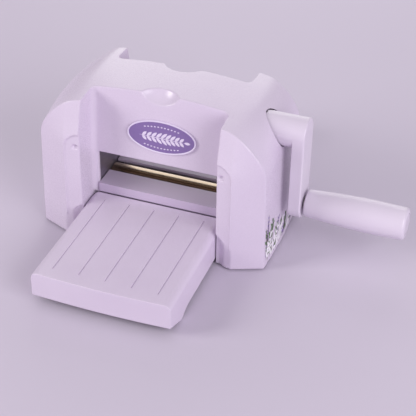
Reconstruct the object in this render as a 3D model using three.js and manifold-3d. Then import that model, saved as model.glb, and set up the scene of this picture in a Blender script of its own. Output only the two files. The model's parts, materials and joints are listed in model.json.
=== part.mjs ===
// A hand-cranked die cutting machine for paper craft, in millimetres with +Z up.
// The origin is the middle of the base's underside. X runs along the rollers, with the
// crank at +X, and the sandwich of plates travels along Y from one fold-down tray to the other.
import * as THREE from 'three';
import { mergeVertices } from 'three/addons/utils/BufferGeometryUtils.js';
import Module from 'manifold-3d';

const wasm = await Module();
wasm.setup();

// ---------------------------------------------------------------- driving dimensions
const CLEARANCE = 0.3;            // gap between neighbouring pieces
const WALL = 2.4;                 // moulded walls

// housing: two end lobes joined by a bridge, under one crowned top
const BODY_HALF_WIDTH = 86.4;     // at mid depth
const SIDE_BOW = 1.3;             // the sides draw in by this much at the lobe corners
const SIDE_DRAFT = 1.3;           // and by this much from the base up to the shoulder
const CORNER_DEPTH = 40;          // |y| of the lobe's outer corners
const SHOULDER_RADIUS = 34.5;
const SHOULDER_CENTRE_Z = 76;
const SHOULDER_TURN = 82;         // degrees of shoulder arc before the crown takes over
const SHOULDER_EASE = 1.8;        // at the lobe faces the arc is this much flatter at its middle
const CROWN_ALONG_Y = 0.001;      // the top falls by this times y squared
const LOBE_FRONT = 49.6;          // |y| of the lobe faces below the crease
const LOBE_RIDGE_X = 62;          // the lobe face sweeps back from here to the outer corner
const LOBE_TOP_FRONT = 42.2;      // |y| of the lobe face's inner top corner
const LOBE_TOP_CORNER = 40;       // |y| of the lobe face's outer top corner
const CREASE_Z = 80;              // above this the lobe faces lean back
const CREASE_SPREAD = 6;          // half height of the rounded crease
const LOBE_TOP_Z = 108.7;

// recess that each tray folds up into
const RECESS_HALF_WIDTH = 50.9;
const RECESS_FILLET = 4.5;
const PANEL_BOTTOM_Z = 59;
const PANEL_BOTTOM_Y = 25.1;      // |y| of the panel's lower edge
const PANEL_TOP_Y = 21.7;         // |y| of the panel where it meets the crown
const PANEL_TOP_Z = 113;
const SLOT_HALF_WIDTH = 46.8;

// finger scoop in the top edge of each panel
const SCOOP_RADIUS = 19.4;
const SCOOP_OFFSET = 9.1;         // its centre stands this far outside the edge, both ways

// arch-topped channel and bottom relief beside each recess
const CHANNEL_SPRING_Z = 73;      // the arch springs from here
const CHANNEL_STEP = 0.7;         // depth of the channel at the lobe's ridge
const CHANNEL_INNER_Y = 46.7;     // |y| of the channel's face at the recess
const RELIEF_INNER_Z = 26;
const RELIEF_OUTER_Z = 17;
const RELIEF_Y = 45.1;

// base and feet
const BASE_THICKNESS = 2.5;
const FOOT_RADIUS = 7;
const FOOT_DROP = 1.5;            // the rubber feet stand this far below the base
const FOOT_POCKET = 1.0;
const FOOT_INSET = 16.4;          // from the body's side to the middle of a foot
const FOOT_Y = 28;

// rollers, frame plates and gears
const ROLLER_RADIUS = 10;
const SYNC_MODULE = 1.5;
const SYNC_TEETH = 24;
const DRIVE_MODULE = 1.25;
const PINION_TEETH = 14;
const DRIVE_TEETH = 39;
const DECK_Z = 33.1;              // the floor of the slot
const ROLLER_GAP = 1.2;           // between the slot's floor and the lower roller
const ROLLER_PROUD = 0.2;         // the lower roller stands this far above the floor
const JOURNAL_RADIUS = 5;
const RUNNING_GAP = 0.2;          // round every shaft and screw
const PLATE_THICKNESS = 3;
const GEAR_FACE = 8;
const GEAR_GAP = 1.2;             // from the recess wall to the gears
const BACKLASH = 0.2;             // thins every tooth, at the pitch circle
const TIE_RADIUS = 3.5;
const TIE_UPPER = { y: 13, z: 99 };
const TIE_LOWER = { y: 13, z: 9 };
const TIE_SCREW = { head: 3.6, headHeight: 2.5, shank: 1.9, depth: 7 };

// crank
const CRANK_RADIUS = 56.7;
const HUB_RADIUS = 11.4;
const HUB_GAP = 0.8;              // between the hub and the hole in the shoulder
const HUB_START_X = 64.5;
const ARM_STAND_OFF = 5.7;        // from the body's side to the arm
const ARM_THICKNESS = 8.8;
const ARM_HALF_WIDTH = HUB_RADIUS;
const ARM_RIM = 1;                // the arm's outer face steps in by this much
const SPINDLE_RADIUS = 4;
const THREAD_RADIUS = 3;          // the spindle's end in the arm
const SPINDLE_HEAD = { radius: 6, thickness: 2.5, depth: 7 };
const PIN_RADIUS = 2;             // the cross pin that locks the hub to its shaft
const PIN_OFFSET = 4;             // from the hub's inner end
const GRIP_GAP = 1.9;             // between the arm and the grip
const GRIP_LENGTH = 72.6;
const GRIP_NECK_RADIUS = 9.8;
const GRIP_SWELL_RADIUS = 12.1;
const GRIP_END_RADIUS = 11.6;
const GRIP_SWELL_SHARE = 0.68;    // the swell is fullest this far along the grip
const GRIP_RIM = 2.5;
const CAP_RADIUS = 8;
const CAP_THICKNESS = 2;

// trays
const TRAY_TOP_Z = 25.6;
const TRAY_BACK_Y = 27.4;         // |y| of the hinged edge when the tray is down
const TRAY_LENGTH = 103.6;
const TRAY_SIDE_GAP = 0.6;
const LIP_GAP = 0.5;              // between the tray's hinged edge and the slot's lip
const TROUGH_GAP = 0.7;           // round the swing of the hinged end
const TRAY_FILLET = 5;
const TRAY_SKIRT_Z = 2.6;
const TRAY_NOSE_Z = 6.7;          // bottom of the free end
const TRAY_FOOT_Z = -1.2;
const TRAY_FOOT_BACK = 83.5;      // the foot stands this far from the hinged edge
const TRAY_FOOT_RISE_BACK = 71;   // and has risen back to the skirt by here
const TRAY_BOW = 1.6;             // bow of the free end
const TRAY_PLATE = 2.7;
const TRAY_SKIRT = 2.2;
const GROOVE_PITCH = 19;
const GROOVE_COUNT = 5;
const GROOVE_DEPTH = 0.5;
const GROOVE_WIDTH = 0.9;
const GROOVE_MARGIN_FREE = 9;
const GROOVE_MARGIN_HINGE = 7;
const PARKED_FACE_Y = 27.2;       // |y| of the tray's top face when it is folded up
const PARKED_BOTTOM_Z = 6;        // lowest point of the folded tray
const HINGE_PIN_RADIUS = 2.2;
const HINGE_PIN_HEAD = { radius: 3.6, thickness: 1.5 };
const EAR_RADIUS = 7;             // the tray's hinge ears
const EAR_THICKNESS = 7;

// badge
const BADGE = { halfWidth: 25.7, halfHeight: 12.5, x: 2, z: 81.3, thickness: 1.4 };

// ---------------------------------------------------------------- worked-out values
const DRIVE_DISTANCE = DRIVE_MODULE * (PINION_TEETH + DRIVE_TEETH) / 2;
const SYNC_DISTANCE = SYNC_MODULE * SYNC_TEETH;
const LOWER_Z = DECK_Z + ROLLER_PROUD - ROLLER_RADIUS;
const UPPER_Z = LOWER_Z + SYNC_DISTANCE;
const CRANK_Z = UPPER_Z + DRIVE_DISTANCE;
const PLATE_X = SLOT_HALF_WIDTH + CLEARANCE;    // inner face of the frame plates
const PLATE_OUT = PLATE_X + PLATE_THICKNESS;
const ROLLER_HALF = PLATE_X - 0.5;
const HANDLE_Z = CRANK_Z - CRANK_RADIUS;
const BORE_RADIUS = JOURNAL_RADIUS + RUNNING_GAP;
const FOOT_X = BODY_HALF_WIDTH - FOOT_INSET;
const ARM_INNER_X = BODY_HALF_WIDTH + ARM_STAND_OFF;
const ARM_OUTER_X = ARM_INNER_X + ARM_THICKNESS;
const GRIP_START_X = ARM_OUTER_X + GRIP_GAP;
const GRIP_END_X = GRIP_START_X + GRIP_LENGTH;
// the hinge turns the tray a quarter turn, from level to upright
const HINGE_Y = (PARKED_BOTTOM_Z - TRAY_BACK_Y - PARKED_FACE_Y - TRAY_TOP_Z) / -2;
const HINGE_Z = (PARKED_BOTTOM_Z - TRAY_BACK_Y + PARKED_FACE_Y + TRAY_TOP_Z) / 2;
const TROUGH_RADIUS = Math.hypot(HINGE_Y - TRAY_BACK_Y, TRAY_TOP_Z - HINGE_Z) + TROUGH_GAP;
const TRAY_HALF_WIDTH = RECESS_HALF_WIDTH - TRAY_SIDE_GAP;
const LIP_Y = TRAY_BACK_Y - LIP_GAP;

const paint = (color, roughness, metalness = 0) =>
  new THREE.MeshStandardMaterial({ color, roughness, metalness });
const SHELL_LILAC = paint(0xd9cbe4, 0.42);
const TRAY_LILAC = paint(0xdacbe3, 0.45);
const HANDLE_LILAC = paint(0xdcd2e8, 0.4);
const DECK_LILAC = paint(0xb9a8c9, 0.5);
const BADGE_PURPLE = paint(0x7f65a6, 0.4);
const BASE_GREY = paint(0x8d8694, 0.6);
const STEEL = paint(0xb9b6ae, 0.3, 1);
const PLATE_STEEL = paint(0x5f5a66, 0.45, 1);
const BRONZE = paint(0xa8794a, 0.4, 1);
const RUBBER = paint(0x2c2a2e, 0.9);
const GEAR_STEEL = paint(0x8b8a8d, 0.45, 1);

// ---------------------------------------------------------------- solids and meshes
function solid(geometry) {
  const bare = geometry.clone();
  for (const name of Object.keys(bare.attributes)) {
    if (name !== 'position') bare.deleteAttribute(name);
  }
  const merged = mergeVertices(bare, 1e-4);
  return new wasm.Manifold(new wasm.Mesh({
    numProp: 3,
    vertProperties: new Float32Array(merged.attributes.position.array),
    triVerts: new Uint32Array(merged.index.array),
  }));
}

const object = new THREE.Group();

function place(name, body, material) {
  const mesh = body.getMesh();
  const geometry = new THREE.BufferGeometry();
  geometry.setAttribute('position', new THREE.BufferAttribute(mesh.vertProperties, 3));
  geometry.setIndex(new THREE.BufferAttribute(mesh.triVerts, 1));
  const part = new THREE.Mesh(geometry, material);
  part.name = name;
  object.add(part);
}

function box(x0, x1, y0, y1, z0, z1) {
  const geometry = new THREE.BoxGeometry(x1 - x0, y1 - y0, z1 - z0);
  geometry.translate((x0 + x1) / 2, (y0 + y1) / 2, (z0 + z1) / 2);
  return solid(geometry);
}

// a round bar along X, centred on (y, z)
function barX(radius, x0, x1, y, z, sides = 20) {
  const geometry = new THREE.CylinderGeometry(radius, radius, x1 - x0, sides);
  geometry.rotateZ(Math.PI / 2);
  geometry.translate((x0 + x1) / 2, y, z);
  return solid(geometry);
}

// a round bar along Z, centred on (x, y)
function barZ(radius, z0, z1, x, y, sides = 12) {
  const geometry = new THREE.CylinderGeometry(radius, radius, z1 - z0, sides);
  geometry.rotateX(Math.PI / 2);
  geometry.translate(x, y, (z0 + z1) / 2);
  return solid(geometry);
}

// a turned piece about an X axis at (y, z), from [x, radius] pairs
function turnedX(profile, y, z, sides = 24) {
  const points = profile.map(([x, radius]) => new THREE.Vector2(radius, x));
  const geometry = new THREE.LatheGeometry(points, sides);
  geometry.rotateZ(-Math.PI / 2);
  geometry.translate(0, y, z);
  return solid(geometry);
}

// a flat outline in Y and Z, given thickness along X
function slabX(shape, x0, x1, curveSegments = 12) {
  const geometry = new THREE.ExtrudeGeometry(shape, {
    depth: x1 - x0, bevelEnabled: false, curveSegments,
  });
  // shape x is Y, shape y is Z, and the extrusion is X
  geometry.applyMatrix4(new THREE.Matrix4().set(
    0, 0, 1, x0,
    1, 0, 0, 0,
    0, 1, 0, 0,
    0, 0, 0, 1,
  ));
  return solid(geometry);
}

// a flat outline in X and Z, given thickness along Y
function slabY(shape, y0, y1, curveSegments = 12) {
  const geometry = new THREE.ExtrudeGeometry(shape, {
    depth: y1 - y0, bevelEnabled: false, curveSegments,
  });
  // shape x is X, shape y is Z, and the extrusion is -Y
  geometry.rotateX(Math.PI / 2);
  geometry.translate(0, y1, 0);
  return solid(geometry);
}

// a closed skin over loops that have the same number of points; each loop is flat and
// perpendicular to the given axis
function loft(loops, axis) {
  const count = loops[0].length;
  const [u, v] = { x: ['y', 'z'], y: ['z', 'x'], z: ['x', 'y'] }[axis];
  const flatten = (loop) => loop.map((point) => new THREE.Vector2(point[u], point[v]));
  if (THREE.ShapeUtils.area(flatten(loops[0])) < 0) loops.forEach((loop) => loop.reverse());
  const positions = loops.flat().flatMap((point) => point.toArray());
  const index = [];
  for (let row = 0; row + 1 < loops.length; row += 1) {
    for (let i = 0; i < count; i += 1) {
      const a = row * count + i;
      const b = row * count + (i + 1) % count;
      index.push(a, b, b + count, a, b + count, a + count);
    }
  }
  const last = (loops.length - 1) * count;
  for (const [a, b, c] of THREE.ShapeUtils.triangulateShape(flatten(loops[0]), [])) {
    index.push(c, b, a, last + a, last + b, last + c);
  }
  const geometry = new THREE.BufferGeometry();
  geometry.setAttribute('position', new THREE.Float32BufferAttribute(positions, 3));
  geometry.setIndex(index);
  return solid(geometry);
}

const radians = (degrees) => degrees * Math.PI / 180;
const union = (bodies) => bodies.reduce((sum, body) => sum.add(body));
const mirrorY = (body) => body.mirror([0, 1, 0]);
const mirrorX = (body) => body.mirror([1, 0, 0]);

// ---------------------------------------------------------------- housing
// the crowned block: the front view, lofted through the depth
function crownedBlock(inset, bottom, arcSteps, stations) {
  const radius = SHOULDER_RADIUS - inset;
  const turn = radians(SHOULDER_TURN);
  const loops = [];
  for (let s = 0; s <= stations; s += 1) {
    const y = THREE.MathUtils.lerp(-LOBE_FRONT - 4, LOBE_FRONT + 4, s / stations);
    const bow = SIDE_BOW * (y / CORNER_DEPTH) ** 2;
    const ease = SHOULDER_EASE * Math.min(1, (y / CORNER_DEPTH) ** 2);
    const centreX = BODY_HALF_WIDTH - SIDE_DRAFT - SHOULDER_RADIUS - bow;
    const centreZ = SHOULDER_CENTRE_Z - CROWN_ALONG_Y * y * y;
    const draft = SIDE_DRAFT * (1 - bottom / SHOULDER_CENTRE_Z);
    const half = [new THREE.Vector3(centreX + radius + draft, y, bottom)];
    for (let i = 0; i <= arcSteps; i += 1) {
      const angle = turn * i / arcSteps;
      const eased = radius - ease * Math.sin(Math.PI * i / arcSteps) ** 2;
      half.push(new THREE.Vector3(
        centreX + eased * Math.cos(angle), y, centreZ + eased * Math.sin(angle)));
    }
    // the crown is an arc that leaves the shoulder without a kink
    const joint = half.at(-1);
    const lean = Math.PI / 2 - turn;
    const crownRadius = joint.x / Math.sin(lean);
    const crownCentreZ = joint.z - crownRadius * Math.cos(lean);
    const crownSteps = Math.ceil(arcSteps / 2);
    for (let i = 1; i < crownSteps; i += 1) {
      const angle = lean * (1 - i / crownSteps);
      half.push(new THREE.Vector3(
        crownRadius * Math.sin(angle), y, crownCentreZ + crownRadius * Math.cos(angle)));
    }
    const top = new THREE.Vector3(0, y, crownCentreZ + crownRadius);
    const other = half.map((p) => new THREE.Vector3(-p.x, p.y, p.z)).reverse();
    loops.push([...half, top, ...other]);
  }
  return loft(loops, 'y');
}

// how far the lobe faces have leaned back at height z, from 0 to 1 and beyond
function leanAt(z) {
  const rise = LOBE_TOP_Z - CREASE_Z;
  const start = CREASE_Z - CREASE_SPREAD;
  if (z <= start) return 0;
  if (z < CREASE_Z + CREASE_SPREAD) return (z - start) ** 2 / (4 * CREASE_SPREAD * rise);
  return (z - CREASE_Z) / rise;
}

// the block between the front and rear lobe faces: the plan, lofted upwards
function lobeEnvelope(inset) {
  const reach = BODY_HALF_WIDTH + 9;
  const cornerX = BODY_HALF_WIDTH - SIDE_BOW;
  const sweep = (LOBE_FRONT - CORNER_DEPTH) / (cornerX - LOBE_RIDGE_X);
  const topSweep = (LOBE_TOP_FRONT - LOBE_TOP_CORNER) / (cornerX - RECESS_HALF_WIDTH);
  const levels = [-4, CREASE_Z - CREASE_SPREAD, CREASE_Z, CREASE_Z + CREASE_SPREAD, LOBE_TOP_Z, 124];
  const loops = levels.map((z) => {
    const lean = leanAt(z);
    const depth = (x) => {
      const low = LOBE_FRONT - Math.max(0, x - LOBE_RIDGE_X) * sweep;
      const high = LOBE_TOP_FRONT - (x - RECESS_HALF_WIDTH) * topSweep;
      return THREE.MathUtils.lerp(low, high, lean) - inset;
    };
    const xs = [-reach, -LOBE_RIDGE_X, LOBE_RIDGE_X, reach];
    const front = xs.map((x) => new THREE.Vector3(x, -depth(Math.abs(x)), z));
    const back = [...front].reverse().map((p) => new THREE.Vector3(p.x, -p.y, z));
    return [...front, ...back];
  });
  return loft(loops, 'z');
}

// the front recess, grown outwards by `grow`
function recess(grow) {
  const levels = [-4, PANEL_BOTTOM_Z, 126];
  const slope = (PANEL_BOTTOM_Y - PANEL_TOP_Y) / (PANEL_TOP_Z - PANEL_BOTTOM_Z);
  const half = RECESS_HALF_WIDTH + grow;
  const fillet = RECESS_FILLET + grow;
  const loops = levels.map((z) => {
    const panel = PANEL_BOTTOM_Y - Math.max(0, z - PANEL_BOTTOM_Z) * slope - grow;
    const side = [new THREE.Vector3(half, -70, z)];
    for (let i = 0; i <= 4; i += 1) {
      const angle = radians(90 * i / 4);
      side.push(new THREE.Vector3(
        half - fillet + fillet * Math.cos(angle), -panel - fillet + fillet * Math.sin(angle), z));
    }
    const other = side.map((p) => new THREE.Vector3(-p.x, p.y, z)).reverse();
    return [...side, ...other];
  });
  return loft(loops, 'z');
}

// the swept room of the tray's hinged end
const trough = (grow) => barX(
  TROUGH_RADIUS + grow, -RECESS_HALF_WIDTH - grow, RECESS_HALF_WIDTH + grow,
  -HINGE_Y, HINGE_Z, 28);

function scoop(grow) {
  const geometry = new THREE.SphereGeometry(SCOOP_RADIUS + grow, 28, 16);
  geometry.translate(0, -PANEL_TOP_Y - SCOOP_OFFSET, PANEL_TOP_Z + 0.6 + SCOOP_OFFSET);
  return solid(geometry);
}

// the shallow arch-topped channel beside the recess, on the +X lobe's front
function channel(grow) {
  const width = LOBE_RIDGE_X - RECESS_HALF_WIDTH;
  const arch = new THREE.Shape();
  arch.moveTo(RECESS_HALF_WIDTH - 2, -4);
  arch.lineTo(LOBE_RIDGE_X + grow, -4);
  arch.lineTo(LOBE_RIDGE_X + grow, CHANNEL_SPRING_Z);
  arch.absarc(RECESS_HALF_WIDTH, CHANNEL_SPRING_Z, width + grow, 0, Math.PI / 2, false);
  arch.lineTo(RECESS_HALF_WIDTH - 2, CHANNEL_SPRING_Z + width + grow);
  arch.closePath();
  const wall = slabY(arch, -70, 0, 5);
  const face = new THREE.Shape([
    new THREE.Vector2(RECESS_HALF_WIDTH - 3, -70),
    new THREE.Vector2(LOBE_RIDGE_X + 6, -70),
    new THREE.Vector2(LOBE_RIDGE_X + 6, -LOBE_FRONT + CHANNEL_STEP + grow),
    new THREE.Vector2(LOBE_RIDGE_X, -LOBE_FRONT + CHANNEL_STEP + grow),
    new THREE.Vector2(RECESS_HALF_WIDTH, -CHANNEL_INNER_Y + grow),
    new THREE.Vector2(RECESS_HALF_WIDTH - 3, -CHANNEL_INNER_Y + grow),
  ]);
  const geometry = new THREE.ExtrudeGeometry(face, { depth: 130, bevelEnabled: false });
  geometry.translate(0, 0, -5);
  return wall.intersect(solid(geometry));
}

// the cut-back foot of that channel, under a sloping line
function relief(grow) {
  const face = new THREE.Shape([
    new THREE.Vector2(RECESS_HALF_WIDTH - 3, -70),
    new THREE.Vector2(LOBE_RIDGE_X + 1.5 + grow, -70),
    new THREE.Vector2(LOBE_RIDGE_X + 1.5 + grow, -LOBE_FRONT + 0.6 + grow),
    new THREE.Vector2(LOBE_RIDGE_X - 3.4, -LOBE_FRONT + 0.9 + grow),
    new THREE.Vector2(RECESS_HALF_WIDTH + 2.7, -RELIEF_Y + grow),
    new THREE.Vector2(RECESS_HALF_WIDTH - 3, -RELIEF_Y + grow),
  ]);
  const geometry = new THREE.ExtrudeGeometry(face, { depth: 60, bevelEnabled: false });
  geometry.translate(0, 0, -5);
  const drop = (RELIEF_INNER_Z - RELIEF_OUTER_Z) / (LOBE_RIDGE_X - RECESS_HALF_WIDTH);
  const under = new THREE.Shape([
    new THREE.Vector2(RECESS_HALF_WIDTH - 10, -6),
    new THREE.Vector2(LOBE_RIDGE_X + 8, -6),
    new THREE.Vector2(LOBE_RIDGE_X + 8, RELIEF_OUTER_Z - 8 * drop + grow),
    new THREE.Vector2(RECESS_HALF_WIDTH - 10, RELIEF_INNER_Z + 10 * drop + grow),
  ]);
  return solid(geometry).intersect(slabY(under, -75, 0));
}

const BOSS = { inset: 6.9, y: 24, radius: 4.2, bottom: 5.3, top: 24, core: 1.6, coreTop: 18 };
const BOSS_X = BODY_HALF_WIDTH - BOSS.inset;
const corners = [
  ['left_front', -1, -1], ['left_rear', -1, 1], ['right_front', 1, -1], ['right_rear', 1, 1],
];

function housing() {
  const frontCuts = (grow) => {
    const right = channel(grow).add(relief(grow));
    return union([recess(grow), trough(grow), scoop(grow), right, mirrorX(right)]);
  };
  const bothCuts = (grow) => {
    const front = frontCuts(grow);
    return front.add(mirrorY(front));
  };
  const cavity = crownedBlock(WALL, -4, 4, 4)
    .intersect(lobeEnvelope(WALL))
    .subtract(bothCuts(WALL));
  let shell = crownedBlock(0, 0, 9, 8).intersect(lobeEnvelope(0));
  shell = shell.subtract(bothCuts(0)).subtract(cavity);
  shell = shell.subtract(box(-SLOT_HALF_WIDTH, SLOT_HALF_WIDTH, -70, 70, -4, PANEL_BOTTOM_Z));
  // the hole for the crank's hub, and the holes for the tray hinge pins
  shell = shell.subtract(barX(HUB_RADIUS + HUB_GAP, 55, ARM_OUTER_X, 0, CRANK_Z, 28));
  for (const [, side, end] of corners) {
    const [near, far] = [RECESS_HALF_WIDTH - 1, RECESS_HALF_WIDTH + WALL + 1];
    const pinHole = barX(HINGE_PIN_RADIUS + CLEARANCE, near, far, end * HINGE_Y, HINGE_Z, 12);
    // a screw boss grown from the side wall
    const boss = barZ(BOSS.radius, BOSS.bottom, BOSS.top, side * BOSS_X, end * BOSS.y);
    const core = barZ(BOSS.core, BOSS.bottom - 1, BOSS.coreTop, side * BOSS_X, end * BOSS.y, 8);
    shell = shell.subtract(side > 0 ? pinHole : mirrorX(pinHole)).add(boss).subtract(core);
  }
  return shell;
}
place('housing', housing(), SHELL_LILAC);

// ---------------------------------------------------------------- base and feet
const FRAME_TAB = { y: 14, halfWidth: 4, reach: 8.5, thickness: 2.4 };
const TAB_SCREW_X = PLATE_OUT + FRAME_TAB.reach / 2 + 1;
const SCREW_HOLE = 1.8;           // radius
const HOUSING_SCREW = { head: 3.3, headBottom: 0.4, headTop: 2.3, shank: 1.3, end: 15 };
const FRAME_SCREW = { head: 3, headBottom: 0.2, headTop: 1.1, shank: 1.4, end: 6 };

function basePan() {
  const inset = WALL + CLEARANCE;
  const niche = channel(inset).add(relief(inset));
  const front = union([recess(inset), trough(inset), niche, mirrorX(niche)]);
  const room = crownedBlock(inset, 0, 2, 4).intersect(lobeEnvelope(inset))
    .subtract(front.add(mirrorY(front)));
  let pan = room.intersect(box(-95, 95, -60, 60, 0, BASE_THICKNESS));
  for (const [, side, end] of corners) {
    const [x, y] = [side * BOSS_X, end * BOSS.y];
    const [tabX, tabY] = [side * TAB_SCREW_X, end * FRAME_TAB.y];
    pan = pan
      .add(barZ(BOSS.radius, 1, BOSS.bottom - CLEARANCE, x, y).intersect(room))
      .subtract(barZ(HOUSING_SCREW.head + 0.5, -1, HOUSING_SCREW.headTop + CLEARANCE, x, y))
      .subtract(barZ(SCREW_HOLE, -1, 8, x, y, 8))
      .subtract(barZ(FOOT_RADIUS + CLEARANCE, -1, FOOT_POCKET, side * FOOT_X, end * FOOT_Y, 20))
      .subtract(barZ(SCREW_HOLE, -1, 8, tabX, tabY, 8))
      .subtract(barZ(FRAME_SCREW.head + CLEARANCE, -1, FRAME_SCREW.headTop + CLEARANCE, tabX, tabY));
  }
  return pan;
}
place('base_pan', basePan(), BASE_GREY);

const bottomScrew = (screw, x, y) => barZ(screw.head, screw.headBottom, screw.headTop, x, y)
  .add(barZ(screw.shank, screw.headTop - CLEARANCE, screw.end, x, y, 8));
for (const [corner, side, end] of corners) {
  place(`foot_${corner}`, barZ(
    FOOT_RADIUS, -FOOT_DROP, FOOT_POCKET - CLEARANCE, side * FOOT_X, end * FOOT_Y, 20), RUBBER);
  place(`housing_screw_${corner}`, bottomScrew(HOUSING_SCREW, side * BOSS_X, end * BOSS.y), STEEL);
  place(`frame_screw_${corner}`, bottomScrew(FRAME_SCREW, side * TAB_SCREW_X, end * FRAME_TAB.y), STEEL);
}

// ---------------------------------------------------------------- frame plates and ties
const ties = [
  ['upper_front', -TIE_UPPER.y, TIE_UPPER.z], ['upper_rear', TIE_UPPER.y, TIE_UPPER.z],
  ['lower_front', -TIE_LOWER.y, TIE_LOWER.z], ['lower_rear', TIE_LOWER.y, TIE_LOWER.z],
];
const BUSH_RADIUS = JOURNAL_RADIUS + 2.2;

// the plates narrow upwards behind the leaning panels
function framePlate() {
  const slope = (PANEL_BOTTOM_Y - PANEL_TOP_Y) / (PANEL_TOP_Z - PANEL_BOTTOM_Z);
  const waist = PANEL_BOTTOM_Y - WALL - CLEARANCE;
  const topZ = 105;
  const topY = waist - (topZ - PANEL_BOTTOM_Z) * slope;
  const footY = HINGE_Y - TROUGH_RADIUS - WALL - CLEARANCE;
  const side = [
    [footY, BASE_THICKNESS + CLEARANCE], [footY, HINGE_Z + TROUGH_RADIUS - 4],
    [waist, DECK_Z], [waist, PANEL_BOTTOM_Z], [topY, topZ - 3], [topY - 3, topZ],
  ];
  const points = side.map(([y, z]) => new THREE.Vector2(y, z));
  const mirrored = side.map(([y, z]) => new THREE.Vector2(-y, z)).reverse();
  let plate = slabX(new THREE.Shape([...points, ...mirrored]), PLATE_X, PLATE_OUT);
  for (const end of [-1, 1]) {
    const low = end * FRAME_TAB.y - FRAME_TAB.halfWidth;
    const high = end * FRAME_TAB.y + FRAME_TAB.halfWidth;
    const bottom = BASE_THICKNESS + CLEARANCE;
    plate = plate.add(box(
      PLATE_OUT - 1, PLATE_OUT + FRAME_TAB.reach, low, high, bottom, bottom + FRAME_TAB.thickness));
    plate = plate.subtract(barZ(SCREW_HOLE, 0, 9, TAB_SCREW_X, end * FRAME_TAB.y, 8));
  }
  for (const z of [LOWER_Z, UPPER_Z, CRANK_Z]) {
    plate = plate.subtract(barX(BUSH_RADIUS + 0.2, PLATE_X - 1, PLATE_OUT + 1, 0, z, 20));
  }
  for (const [, y, z] of ties) {
    plate = plate.subtract(barX(TIE_SCREW.shank + 0.4, PLATE_X - 1, PLATE_OUT + 1, y, z, 8));
  }
  return plate;
}
const rightPlate = framePlate();
place('frame_plate_right', rightPlate, PLATE_STEEL);
place('frame_plate_left', mirrorX(rightPlate), PLATE_STEEL);

for (const [name, y, z] of ties) {
  const reach = PLATE_X - CLEARANCE;
  const bore = barX(TIE_SCREW.shank + CLEARANCE, reach - TIE_SCREW.depth - 2, reach + 1, y, z, 8);
  place(`tie_bar_${name}`,
    barX(TIE_RADIUS, -reach, reach, y, z, 12).subtract(bore).subtract(mirrorX(bore)), STEEL);
  const headStart = PLATE_OUT + CLEARANCE;
  const screw = barX(TIE_SCREW.head, headStart, headStart + TIE_SCREW.headHeight, y, z, 12)
    .add(barX(TIE_SCREW.shank, PLATE_X - TIE_SCREW.depth, headStart + 1, y, z, 8));
  place(`tie_screw_${name}_right`, screw, STEEL);
  place(`tie_screw_${name}_left`, mirrorX(screw), STEEL);
}

// ---------------------------------------------------------------- bushes
const shafts = [['lower', LOWER_Z], ['upper', UPPER_Z], ['crank', CRANK_Z]];
for (const [name, z] of shafts) {
  const bush = barX(BUSH_RADIUS, PLATE_X + 0.2, PLATE_OUT + 1, 0, z)
    .add(barX(BUSH_RADIUS + 1.8, PLATE_OUT + CLEARANCE, PLATE_OUT + 1.8, 0, z))
    .subtract(barX(BORE_RADIUS, PLATE_X - 1, PLATE_OUT + 5, 0, z));
  place(`${name}_bush_right`, bush, BRONZE);
  place(`${name}_bush_left`, mirrorX(bush), BRONZE);
}

// ---------------------------------------------------------------- gears
// teeth with straight flanks, set about an X axis; `turn` is in tooth pitches
function gear(teeth, module, x0, x1, z, turn) {
  const pitch = module * teeth / 2;
  const outer = pitch + module;
  const root = pitch - 1.25 * module;
  const step = 2 * Math.PI / teeth;
  const half = step / 4 - BACKLASH / 2 / pitch;
  const tip = half * 0.45;
  const foot = half * 1.6;
  const shape = new THREE.Shape();
  for (let i = 0; i < teeth; i += 1) {
    const centre = Math.PI / 2 + (i + turn) * step;
    const outline = [[root, -foot], [outer, -tip], [outer, tip], [root, foot]];
    for (const [radius, angle] of outline) {
      const y = radius * Math.cos(centre + angle);
      const h = z + radius * Math.sin(centre + angle);
      if (i === 0 && angle === -foot) shape.moveTo(y, h);
      else shape.lineTo(y, h);
    }
  }
  shape.closePath();
  return slabX(shape, x0, x1);
}

const GEAR_X = RECESS_HALF_WIDTH + WALL + GEAR_GAP;
const SYNC_X0 = -GEAR_X - GEAR_FACE;
const boreFor = (x0, x1, z) => barX(BORE_RADIUS, x0, x1, 0, z);
const syncGear = (z, turn) => gear(SYNC_TEETH, SYNC_MODULE, SYNC_X0, -GEAR_X, z, turn)
  .subtract(boreFor(SYNC_X0 - 1, -GEAR_X + 1, z));
place('sync_gear_upper', syncGear(UPPER_Z, 0), GEAR_STEEL);
place('sync_gear_lower', syncGear(LOWER_Z, 0.5), GEAR_STEEL);
place('drive_gear', gear(DRIVE_TEETH, DRIVE_MODULE, GEAR_X, GEAR_X + GEAR_FACE, UPPER_Z, 0.5)
  .subtract(boreFor(GEAR_X - 1, GEAR_X + GEAR_FACE + 1, UPPER_Z)), GEAR_STEEL);
place('crank_pinion', gear(PINION_TEETH, DRIVE_MODULE, GEAR_X, GEAR_X + GEAR_FACE, CRANK_Z, 0)
  .subtract(boreFor(GEAR_X - 1, GEAR_X + GEAR_FACE + 1, CRANK_Z)), GEAR_STEEL);

// ---------------------------------------------------------------- rollers
function roller(z, left, right) {
  const c = 0.8;
  return turnedX([
    [-left, 0], [-left, JOURNAL_RADIUS], [-ROLLER_HALF, JOURNAL_RADIUS],
    [-ROLLER_HALF, ROLLER_RADIUS - c], [-ROLLER_HALF + c, ROLLER_RADIUS],
    [ROLLER_HALF - c, ROLLER_RADIUS], [ROLLER_HALF, ROLLER_RADIUS - c],
    [ROLLER_HALF, JOURNAL_RADIUS], [right, JOURNAL_RADIUS], [right, 0],
  ], 0, z, 28);
}
const LONG_END = GEAR_X + GEAR_FACE + 3;
const SHORT_END = PLATE_OUT + 3;
place('lower_roller', roller(LOWER_Z, LONG_END, SHORT_END), STEEL);
place('upper_roller', roller(UPPER_Z, LONG_END, LONG_END), STEEL);

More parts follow.
